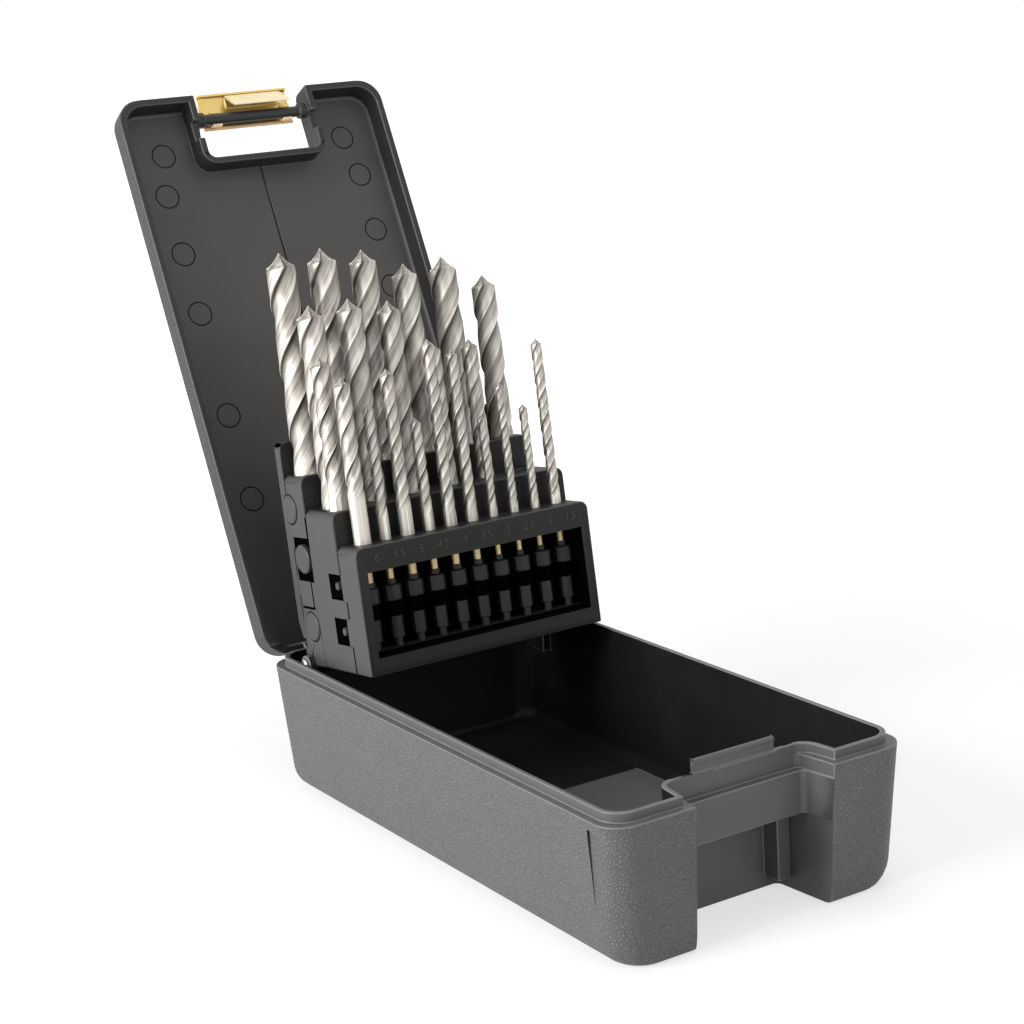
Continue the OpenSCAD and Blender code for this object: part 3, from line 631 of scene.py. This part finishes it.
def is_setback_side(point):
    """True beside the steps where the ends of the long walls are set back."""
    return abs(point.x) > setback_from_x and abs(abs(point.y) - setback_y) < 0.6 * mm


def tray_width_at(edge):
    """No bevel on the fillets round the underside, which the solid has already."""
    if all(is_setback_side(vert.co) for vert in edge.verts):
        return 0.0
    at_the_foot = all(vert.co.z < foot_fillet_top and not in_recess_area(vert.co)
                      for vert in edge.verts)
    return None if at_the_foot else usual_bevel


# The floor is painted pale in front of this line, a painted reflection, and painted
# near-black behind it, as painted shade.
painted_light_floor_y = 27 * mm
two_levels(case_floor, "Y", painted_light_floor_y + 0.3 * mm, painted_light_floor_y,
           grey(0.009))
dress("tray", "case", [case_outside, case_rim, case_inside, case_floor],
      tray_finish, segments=3, width_at=tray_width_at, highlight_finish=case_edge_highlight)

# %% [markdown]
# ## The lid
# The lid is the same plastic. Its inside is a smooth satin, and its outside has the
# tray's grain. The lid leans back, so "inside" can't be read from a height in the room.
# Each face is turned back to where it is on the shut lid, and its height there tells
# whether it is the flat inside, a groove in it, a wall or the outside.

# %% Lid
hinge = Vector((0, 107.8, 48.0)) * mm
lid_angle = radians(114.7)
skin_inner = 55.3 * mm       # height of the flat inside on the shut lid
lid_wall_inset = 2.7 * mm


def closed_place(point):
    """Where a point of the open lid is when the lid is shut."""
    y, z = point.y - hinge.y, point.z - hinge.z
    return Vector((point.x, hinge.y + y * cos(lid_angle) - z * sin(lid_angle),
                   hinge.z + y * sin(lid_angle) + z * cos(lid_angle)))


def lid_finish(face):
    """0 is the grained outside, 1 the flat inside, 2 its walls and the rim, painted darker
    than the flat as shade, and 3 the grooves and the marks in the flat, painted darker
    still as the shade in them."""
    middle = closed_place(face.calc_center_median())
    inside = (abs(middle.x) < half_width - lid_wall_inset
              and abs(middle.y) < back_y - lid_wall_inset
              and middle.z < skin_inner + 0.5 * mm)
    if inside and middle.z > skin_inner + 0.05 * mm:
        return 3
    if inside and middle.z > skin_inner - 0.8 * mm:
        return 1
    return 2 if inside or middle.z < rim_z + 0.6 * mm else 0


dress("lid", "lid", [lid_outside, lid_inside, lid_wall, lid_groove],
      lid_finish, 0.5 * mm, highlight_finish=lid_edge_highlight)

# %% [markdown]
# ## Where the rack stands
# Everything on the rack is drawn upright in the rack's own frame and then placed with
# one matrix: b runs back from the pivot and a runs up along the drills.

# %% Rack frame
rack_pivot = Vector((0, 89.0, 48.4)) * mm
rack_lean = radians(7)
rack_place = Matrix.Translation(rack_pivot) @ Matrix.Rotation(-rack_lean, 4, "X")
rack_front_b = -44.8 * mm
front_row_b = -36.4 * mm
middle_row_b = -17.8 * mm
corner_row_b = -26.8 * mm
rear_row_b = (-10.9 + 2.2) / 2 * mm
front_pitch, middle_pitch, rear_pitch = 8.8 * mm, 15.4 * mm, 16.1 * mm
foot_a = -0.2 * mm
front_seat, back_seat = 12 * mm, 9 * mm
front_top, middle_top, rear_top = 44.3 * mm, 56.1 * mm, 67.9 * mm
front_sockets, middle_sockets, rear_sockets = 10, 6, 6


def places_across(count, pitch):
    """Where the sockets of a row are, from left to right."""
    return [(i - (count - 1) / 2) * pitch for i in range(count)]


front_xs = places_across(front_sockets, front_pitch)
middle_xs = places_across(middle_sockets, middle_pitch)
rear_xs = places_across(rear_sockets, rear_pitch)
# each drill's diameter and how high its point stands, in millimetres
front_drills = [(6, 101.6), (4.1, 91.2), (5.1, 102.1), (4.1, 83.7), (4.6, 109.8),
                (4.4, 105), (3.2, 80.4), (3.2, 90.7), (3.2, 81.6), (4, 103.8)]
middle_drills = [(9.6, 126.5), (9, 126.9), (8.4, 124.2), (6.4, 107.2), (6.1, 106.4)]
rear_drills = [(10.6, 145.4), (10.6, 145.2), (9.8, 142.8), (9.6, 135.9), (10.2, 136.6),
               (9, 127.8)]
print("sockets", len(front_xs), len(middle_xs), len(rear_xs))

# %% [markdown]
# ## The rack
# Blocks of a darker plastic are keyed together with teeth, plugs and pins. They are
# mouldings too, so they are dressed in the same way. Their cheeks are painted lighter, a
# painted sheen of the light from the left, and the open joints, the pockets and the back of
# the window are painted black, as painted shade, since little light reaches them. A face
# tells where it is in the rack's own frame.

# %% Rack blocks
rack_half = 47.5 * mm
post_width = 3.8 * mm
sill_a, window_top_a = 5.8 * mm, 35.3 * mm
middle_front_b = -31.4 * mm
pocket_depth = 2.2 * mm      # of the pockets and joints in the cheeks, at most
tier_tops = (front_top, middle_top, rear_top)
to_rack = rack_place.inverted()
rack_turn = to_rack.to_3x3()


def block_finish(face):
    """0 is the cheeks with their painted sheen, 1 the tiers, 2 the number strip's side and
    3 whatever lies deep, painted black as shade.
    """
    middle = to_rack @ face.calc_center_median()
    looks = rack_turn @ face.normal
    side = abs(middle.x)
    near_a_top = any(-2.5 * mm < middle.z - top < 0.6 * mm for top in tier_tops)
    if looks.z > 0.3 and near_a_top:
        return 0 if abs(looks.x) > 0.3 else 1
    if side > rack_half - 0.1 * mm and abs(looks.x) > 0.9:
        return 0
    buried = rack_half - pocket_depth < side < rack_half - 0.2 * mm
    if buried and (abs(looks.x) > 0.9 or side > rack_half - 1.3 * mm):
        return 3
    in_window = (side < rack_half - post_width + 0.3 * mm
                 and sill_a - 1 * mm < middle.z < front_top - 1 * mm
                 and rack_front_b + 1 * mm < middle.y < middle_front_b - 0.5 * mm)
    if in_window:
        return 3
    return 2 if middle.y < rack_front_b + 1.5 * mm else 1


def block_width_at(edge):
    """The edges of the window, the joints and the pockets stay sharp."""
    return 0.0 if any(face.material_index == 3 for face in edge.link_faces) else 0.5 * mm


for block in ("rack_front_frame", "rack_middle_block", "rack_rear_block",
              "rack_back_plate"):
    dress(block, "rack", [rack_cheek, rack_black, rack_front, deep_black],
          block_finish, width_at=block_width_at, highlight_finish=rack_highlight)
for small in ("rack_side_plugs", "rack_side_pins"):
    dress(small, "rack", [rack_cheek], None, 0.25 * mm,
          highlight_finish=rack_highlight)
dress("rack_pivot_pins", "rack", [pin_steel], None, 0.25 * mm)
dress("lid_hinge_pins", "case", [pin_steel], None, 0.2 * mm)

# %% [markdown]
# ## Sleeves
# Ten black sleeves stand behind the window on one strip. Each is turned on its drill's
# axis: a foot, a slim waist, a cone and a wide body with a neck that takes the shank. A
# spin with eight steps gives their flat sides, and the profile ends on the axis at both
# ends, so that the sleeve is closed.

# %% Sleeve helpers
neck_top_a = 30.6 * mm
shank_end_share = 0.6        # the front shanks are turned down below the number strip
sleeve_sides = 8
neck_wall = 0.45             # in millimetres


def sleeve(shape, x, shank_radius):
    """Adds a sleeve that stands on the strip at x, with a bore for a shank."""
    bore = shank_end_share * shank_radius + 0.1 * mm
    # radius and height in millimetres, from the foot round to the bottom of the bore
    profile = [(0, 6.2), (1.5, 6.2), (1.5, 9.9), (2.4, 10), (2.4, 17.6), (3.2, 23.2),
               (3.3, 23.6), (3.3, 28.5), (bore / mm + neck_wall, 28.9),
               (bore / mm + neck_wall, neck_top_a / mm), (bore / mm, neck_top_a / mm),
               (bore / mm, 11.8), (0, 11.8)]
    points = [shape.verts.new((r * mm, 0, a * mm)) for r, a in profile]
    chain = [shape.edges.new(pair) for pair in zip(points, points[1:])]
    middle = (x, front_row_b, 0)
    bmesh.ops.rotate(shape, verts=points, cent=(0, 0, 0),
                     matrix=Matrix.Rotation(pi / sleeve_sides, 3, "Z"))
    bmesh.ops.translate(shape, verts=points, vec=middle)
    bmesh.ops.spin(shape, geom=points + chain, cent=middle, axis=(0, 0, 1), angle=2 * pi,
                   steps=sleeve_sides, use_merge=True)


# %% Sleeves behind the window
sleeves_shape = bmesh.new()
for x, (diameter, _) in zip(front_xs, front_drills):
    sleeve(sleeves_shape, x, diameter / 2 * mm)
strip_place = Matrix.Translation((0, front_row_b, sill_a + 0.6 * mm))
bmesh.ops.create_cube(sleeves_shape, size=1, matrix=strip_place @ Matrix.Diagonal(
    (2 * (rack_half - post_width) - 0.6 * mm, 6 * mm, 1.2 * mm, 1)))
bmesh.ops.remove_doubles(sleeves_shape, verts=sleeves_shape.verts, dist=1e-6)
bmesh.ops.recalc_face_normals(sleeves_shape, faces=sleeves_shape.faces)
# the cones and the feet of the sleeves are painted black, as painted shade
for face in sleeves_shape.faces:
    height = face.calc_center_median().z
    in_shade = 17.7 * mm < height < 23 * mm or height < 6.5 * mm     # cone and foot
    face.material_index = 1 if in_shade else 0
bmesh.ops.transform(sleeves_shape, matrix=rack_place, verts=sleeves_shape.verts)
sleeves = place_mesh("sleeves", sleeves_shape, [sleeve_black, deep_black])
soften = sleeves.modifiers.new("soften", "BEVEL")
soften.width = 0.15 * mm
soften.segments = 2
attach(sleeves, "rack")
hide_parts("rack_sleeves")
print("sleeves", len(sleeves.data.polygons), "faces")

# %% [markdown]
# ## The latch
# The plate and its hook are sheet brass. The hook is paler, and the edge of the plate that
# turns under the bar has a warmer tone.

# %% Latch
bar_z = 234.7 * mm


def plate_finish(face):
    """1 is the warm part below the bar, and 0 the rest."""
    return 1 if face.calc_center_median().z < bar_z - 1.2 * mm else 0


dress("latch_plate", "latch", [brass, warm_brass], plate_finish, 0.15 * mm)
dress("latch_hook", "latch", [pale_brass], None, 0.15 * mm)

# %% [markdown]
# ## Twist drills
# A twist drill is a rod with two helical flutes. Going round its section, a land ends in
# a narrow raised margin and a sharp edge, the flute drops steeply from there and then
# rises slowly to the next land. The spin operator with a shift along its axis sweeps a
# round section up the helix, and its corners are then drawn in to the fluted one. The
# flutes run out into the plain shank, and the point is the section's own top face,
# raised towards the middle.

# %% The fluted section
land_share = 0.5             # of the half turn that one land and one flute take up
margin_share = 0.07
land_radius = 0.97           # of the drill's radius
web_radius = 0.82
steep_share = 0.18           # of the flute's width, that its steep wall takes


def flute_depth(across):
    """0 to 1: a steep wall behind the sharp edge, then a slow rise to the next land."""
    return sin(pi * across ** 0.55) ** 0.9 if 0 < across < 1 else 0.0


def section_radius(share):
    """Radius of the section, as a share of the drill's, at a place round its half turn."""
    if share < land_share - margin_share:
        return land_radius
    if share <= land_share:
        return 1.0
    across = (share - land_share) / (1 - land_share)
    return land_radius - (land_radius - web_radius) * flute_depth(across)


def shade_of(share):
    """How dark the steel is painted there, mostly as painted shade and partly as the
    flutes' duller steel: black under the sharp edge, paler across the flute, and dark again
    at the heel of the land."""
    if share <= land_share:
        return 0.72 * (1 - share / land_share) ** 1.2
    across = (share - land_share) / (1 - land_share)
    wall = across / steep_share
    return max(0.0, 1 - wall) + 0.82 * (1 - across) ** 0.9 * min(1.0, wall)


# %% Point and helix
helix = radians(36)
section_points = 48
steps_per_turn = 36
point_rings = 5
point_share = 0.46           # rise of the point, of the drill's diameter
heel_drop = 0.1              # how far the heel of the point lies lower, of the diameter
runout = 1.3                 # length in which the flutes deepen, of the diameter
streak_stretch = 0.05
least_radius = 1e-9          # nearer to the axis than this is the point's own tip
shoulder_reach = 0.01 * mm


def point_height(share, diameter):
    """How far the point rises above the drill's shoulder at a share of its radius."""
    return point_share * diameter * max(0.0, 1 - share) ** 1.6


def sweep_section(diameter, shank, body_length, lead):
    """A round section swept up the helix, with rings of corners on its top face."""
    steps = max(8, round(body_length / lead * steps_per_turn))
    shape = bmesh.new()
    bmesh.ops.create_circle(shape, cap_ends=True, segments=section_points,
                            radius=diameter / 2,
                            matrix=Matrix.Translation((0, 0, shank)))
    bmesh.ops.spin(shape, geom=list(shape.faces), cent=(0, 0, 0), axis=(0, 0, 1),
                   dvec=(0, 0, body_length / steps), angle=2 * pi * body_length / lead,
                   steps=steps, use_merge=False, use_duplicate=False)
    top_face = max((f for f in shape.faces if abs(f.normal.z) > 0.9),
                   key=lambda f: f.calc_center_median().z)
    centre = bmesh.ops.poke(shape, faces=[top_face])["verts"][0]
    bmesh.ops.subdivide_edges(shape, edges=list(centre.link_edges), cuts=point_rings)
    return shape


def draw_flutes(shape, diameter, shank, top, lead, edge_angle):
    """Draws the corners in to the fluted section, raises the point above top, and notes for
    each corner how dark it is painted, as painted shade in the flutes and on the point, and
    where it lies on the untwisted drill."""
    shade = shape.verts.layers.float.new("shade")
    straight = shape.verts.layers.float_vector.new("straight")
    for vert in shape.verts:
        x, y, z = vert.co
        far = hypot(x, y)
        if far < least_radius:
            vert.co.z += point_height(0, diameter)
            # the tip is painted darker: painted shade
            vert[shade] = 0.35
            continue
        round_drill = atan2(y, x) - edge_angle - 2 * pi * (z - top) / lead
        vert[straight] = (far * cos(round_drill), far * sin(round_drill),
                          streak_stretch * z)
        share = (round_drill / pi + land_share + 1e-6) % 1.0
        fade = min(1.0, max(0.0, (z - shank) / (runout * diameter)))
        fade = fade * fade * (3 - 2 * fade)
        drawn = 1 + (section_radius(share) - 1) * fade
        vert[shade] = fade * shade_of(share)
        rim = far / (diameter / 2)
        vert.co.x, vert.co.y = x * drawn, y * drawn
        if z > top - shoulder_reach:
            heel = 1 - share / land_share if share < land_share else 0
            vert.co.z += (point_height(rim * drawn, diameter)
                          - heel_drop * diameter * heel * rim)
            # the point is painted darker towards its middle: painted shade
            vert[shade] = max(vert[shade], 0.5 * max(0.0, 1 - rim) ** 0.3)


# %% Shank and whole drill
foot_gap = 0.05 * mm         # under the foot, so that it doesn't touch its seat
foot_chamfer = 0.5 * mm
foot_share = 0.86            # of the shank's width, under the chamfer
camera_side = radians(240.7)


def grow_down(shape, faces, height, scale):
    """Extrudes the lowest faces down to a height, and scales them about the axis."""
    grown = bmesh.ops.extrude_face_region(shape, geom=faces)
    bmesh.ops.delete(shape, geom=faces, context="FACES")
    made = [part for part in grown["geom"] if isinstance(part, bmesh.types.BMFace)]
    for vert in {vert for face in made for vert in face.verts}:
        vert.co = Vector((vert.co.x * scale, vert.co.y * scale, height))
    return made


def add_shank(shape, shank, turned_to):
    """Grows the plain shank down from the flutes, and marks its straw-coloured end."""
    low = [f for f in shape.faces if all(abs(v.co.z - shank) < 1e-7 for v in f.verts)]
    if turned_to:
        low = grow_down(shape, low, turned_to, 1)
        low = grow_down(shape, low, turned_to - 0.5 * mm, shank_end_share)
    low = grow_down(shape, low, foot_chamfer, 1)
    grow_down(shape, low, foot_gap, foot_share)
    warm = shape.verts.layers.float.new("warm")
    for vert in shape.verts:
        if turned_to and vert.co.z < turned_to - 0.4 * mm:
            vert[warm] = 1.0


def twist_drill(name, place, diameter, length, shank, edge_at, turned_to=0.0):
    """A drill that stands on the origin of place, with its point at length. edge_at is
    where, from 0 at the left to 1 at the right, its sharp edge meets the point, and
    turned_to is the height below which its shank is turned down."""
    top = length - point_share * diameter
    lead = pi * diameter / tan(helix)
    edge_angle = camera_side + asin(2 * edge_at - 1)
    shape = sweep_section(diameter, shank, top - shank, lead)
    draw_flutes(shape, diameter, shank, top, lead, edge_angle)
    add_shank(shape, shank, turned_to)
    bmesh.ops.remove_doubles(shape, verts=shape.verts, dist=1e-7)
    bmesh.ops.recalc_face_normals(shape, faces=shape.faces)
    for face in shape.faces:
        face.smooth = True
    bmesh.ops.transform(shape, matrix=place, verts=shape.verts)
    piece = place_mesh(name, shape, [drill_steel])
    piece.data.set_sharp_from_angle(angle=radians(32))
    return piece


# %% The three rows
corner_x = -41.8 * mm
corner_drill = (6.9, 109.2)
# how much plain shank shows over each socket, in millimetres: below 0 the flutes start
# inside the socket, and none shows
front_plain = [15, 8, 9, 6, 4, 2.5, 2.5, 2, 1.5, 1.5]
middle_plain = rear_plain = [-4] * 6
corner_plain, corner_edge = 4, 0.6
# where each drill's sharp edge meets its point, across its width
front_edges = [0.6, 0.5, 0.6, 0.55, 0.62, 0.58, 0.5, 0.6, 0.5, 0.55]
middle_edges = [0.6, 0.58, 0.68, 0.5, 0.55]
rear_edges = [0.7, 0.48, 0.5, 0.4, 0.36, 0.45]


def stand(node, x, b, seat, tier_top, drill, plain, edge_at, turned_to=0.0):
    """Puts a drill in its socket and lets it stand for the CAD drill of that name."""
    diameter, point_a = drill
    foot = foot_a + seat
    place = rack_place @ Matrix.Translation((x, b, foot))
    piece = twist_drill(node + "_twist", place, diameter * mm, point_a * mm - foot,
                        tier_top + plain * mm - foot, edge_at,
                        turned_to - foot if turned_to else 0.0)
    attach(piece, node)
    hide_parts(node)


for i, drill in enumerate(front_drills):
    stand(f"drill_front_{i + 1}", front_xs[i], front_row_b, front_seat, front_top, drill,
          front_plain[i], front_edges[i], window_top_a + 1.5 * mm)
for i, drill in enumerate(middle_drills):
    stand(f"drill_middle_{i + 1}", middle_xs[i], middle_row_b, back_seat, middle_top,
          drill, middle_plain[i], middle_edges[i])
stand("drill_middle_corner", corner_x, corner_row_b, back_seat, middle_top,
      corner_drill, corner_plain, corner_edge)
for i, drill in enumerate(rear_drills):
    stand(f"drill_rear_{i + 1}", rear_xs[i], rear_row_b, back_seat, rear_top, drill,
          rear_plain[i], rear_edges[i])
print("drills", len(front_drills) + len(middle_drills) + 1 + len(rear_drills))

# %% [markdown]
# ## Numerals
# Raised numerals stand over the window, one at each front socket: plain sizes that fall
# by half a millimetre. A text object is the short way to their outlines: it is made a
# mesh first and then set on the strip.

# %% Numerals
numerals = ["6", "5.5", "5", "4.5", "4", "3.5", "3", "2.5", "2", "1.5"]
numeral_height = 3.8 * mm
numeral_relief = 0.25 * mm
strip_middle_a = 39.8 * mm


def raised_numeral(text, x):
    """The mesh of a numeral that stands on the number strip at x."""
    curve = bpy.data.curves.new("numeral", "FONT")
    curve.body = text
    curve.size = numeral_height
    curve.extrude = numeral_relief
    curve.align_x = "CENTER"
    curve.align_y = "CENTER"
    letters = bpy.data.objects.new("numeral", curve)
    scene.collection.objects.link(letters)
    bpy.context.view_layer.update()
    mesh = bpy.data.meshes.new_from_object(letters)
    bpy.data.objects.remove(letters)
    mesh.transform(rack_place @ Matrix.Translation((x, rack_front_b, strip_middle_a))
                   @ Matrix.Rotation(pi / 2, 4, "X"))
    return mesh


strip_shape = bmesh.new()
for text, x in zip(numerals, front_xs):
    strip_shape.from_mesh(raised_numeral(text, x))
# the numerals take the rack's lighter edge plastic: a painted highlight on their raised
# faces
strip_numerals = place_mesh("strip_numerals", strip_shape, [rack_highlight])
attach(strip_numerals, "rack")
print("numerals", " ".join(numerals))

# %% [markdown]
# ## Floor and light
# The photograph is a product picture on white paper. To the camera the floor is white
# paper that glows, with only a share of its shade left, so the case keeps a soft shadow
# and the paper runs into the sky without a horizon. To every other ray it is plain paper.

# %% Floor
half_floor = 6
paper, paper_tree, paper_shader = start_material("paper", 0.9)
paper_shader.inputs["Base Color"].default_value = (0.9, 0.9, 0.895, 1)
paper_shader.inputs["Specular IOR Level"].default_value = 0


def seen_by_eye_or_mirror(tree):
    """1 for camera, glossy and transmission rays."""
    path = add(tree, "ShaderNodeLightPath")
    either = add(tree, "ShaderNodeMath", operation="MAXIMUM")
    tree.links.new(path.outputs["Is Camera Ray"], either.inputs[0])
    tree.links.new(path.outputs["Is Glossy Ray"], either.inputs[1])
    any_of = add(tree, "ShaderNodeMath", operation="MAXIMUM")
    tree.links.new(either.outputs[0], any_of.inputs[0])
    tree.links.new(path.outputs["Is Transmission Ray"], any_of.inputs[1])
    return any_of.outputs[0]


# %% Glowing paper
# the paper's glow is dimmed near the case, as a painted shadow, and full away from it
painted_shadow_near, white_far = 0.22, 0.75      # distances from the middle of the case


def make_paper_glow(tree, shader):
    """Shows glowing paper to the camera: its glow is dimmed near the case, a painted
    shadow, and white away from it.
    """
    place = add(tree, "ShaderNodeTexCoord")
    distance = add(tree, "ShaderNodeVectorMath", operation="LENGTH")
    tree.links.new(place.outputs["Object"], distance.inputs[0])
    away = add(tree, "ShaderNodeMapRange", interpolation_type="SMOOTHSTEP",
               From_Min=painted_shadow_near, From_Max=white_far)
    tree.links.new(distance.outputs["Value"], away.inputs["Value"])
    level = add(tree, "ShaderNodeMapRange", To_Min=0.64, To_Max=1.0)
    tree.links.new(away.outputs["Result"], level.inputs["Value"])
    glow = add(tree, "ShaderNodeEmission", Color=(1, 0.995, 0.985, 1))
    tree.links.new(level.outputs["Result"], glow.inputs["Strength"])
    shade = add(tree, "ShaderNodeBsdfDiffuse", Color=(0.4, 0.4, 0.397, 1))
    both = add(tree, "ShaderNodeAddShader")
    tree.links.new(glow.outputs[0], both.inputs[0])
    tree.links.new(shade.outputs[0], both.inputs[1])
    choose = add(tree, "ShaderNodeMixShader")
    tree.links.new(seen_by_eye_or_mirror(tree), choose.inputs[0])
    tree.links.new(shader.outputs[0], choose.inputs[1])
    tree.links.new(both.outputs[0], choose.inputs[2])
    tree.links.new(choose.outputs[0], tree.nodes["Material Output"].inputs["Surface"])


make_paper_glow(paper_tree, paper_shader)
floor_shape = bmesh.new()
bmesh.ops.create_grid(floor_shape, x_segments=1, y_segments=1, size=half_floor)
floor = place_mesh("floor", floor_shape, [paper])


# %% [markdown]
# ## Lamps and sky
# A large soft lamp at the left lights the long wall, a weak one fills the front, and one
# overhead picks out the rims. They are kept low enough that a colour renders about as it
# is written. The sky is white to the eye and dimmer as a light, so it doesn't wash out
# the shadows.

# %% Lamps
def lamp(name, place, target, size, power):
    """A square soft lamp at place that looks at target."""
    light = bpy.data.lights.new(name, "AREA")
    light.shape = "SQUARE"
    light.size = size
    light.energy = power
    holder = bpy.data.objects.new(name, light)
    aim = (Vector(target) - Vector(place)).to_track_quat("-Z", "Y")
    holder.matrix_world = Matrix.Translation(place) @ aim.to_matrix().to_4x4()
    scene.collection.objects.link(holder)


middle_of_case = (0, 0.05, 0.08)
lamp("key", (-1.7, 0.1, 0.7), middle_of_case, 0.9, 40)
lamp("front", (0.2, -1.7, 0.8), middle_of_case, 0.9, 5.5)
lamp("top", (0.2, 0.3, 1.9), middle_of_case, 1.2, 9)

# %% Sky
sky_light, sky_seen = 0.45, 1.0
sky = bpy.data.worlds.new("sky")
scene.world = sky
sky.use_nodes = True
sky_tree = sky.node_tree
backing = sky_tree.nodes["Background"]
backing.inputs["Color"].default_value = (1, 1, 1, 1)
level = add(sky_tree, "ShaderNodeMapRange", To_Min=sky_light, To_Max=sky_seen)
sky_tree.links.new(seen_by_eye_or_mirror(sky_tree), level.inputs["Value"])
sky_tree.links.new(level.outputs["Result"], backing.inputs["Strength"])

scene.view_settings.view_transform = "Standard"
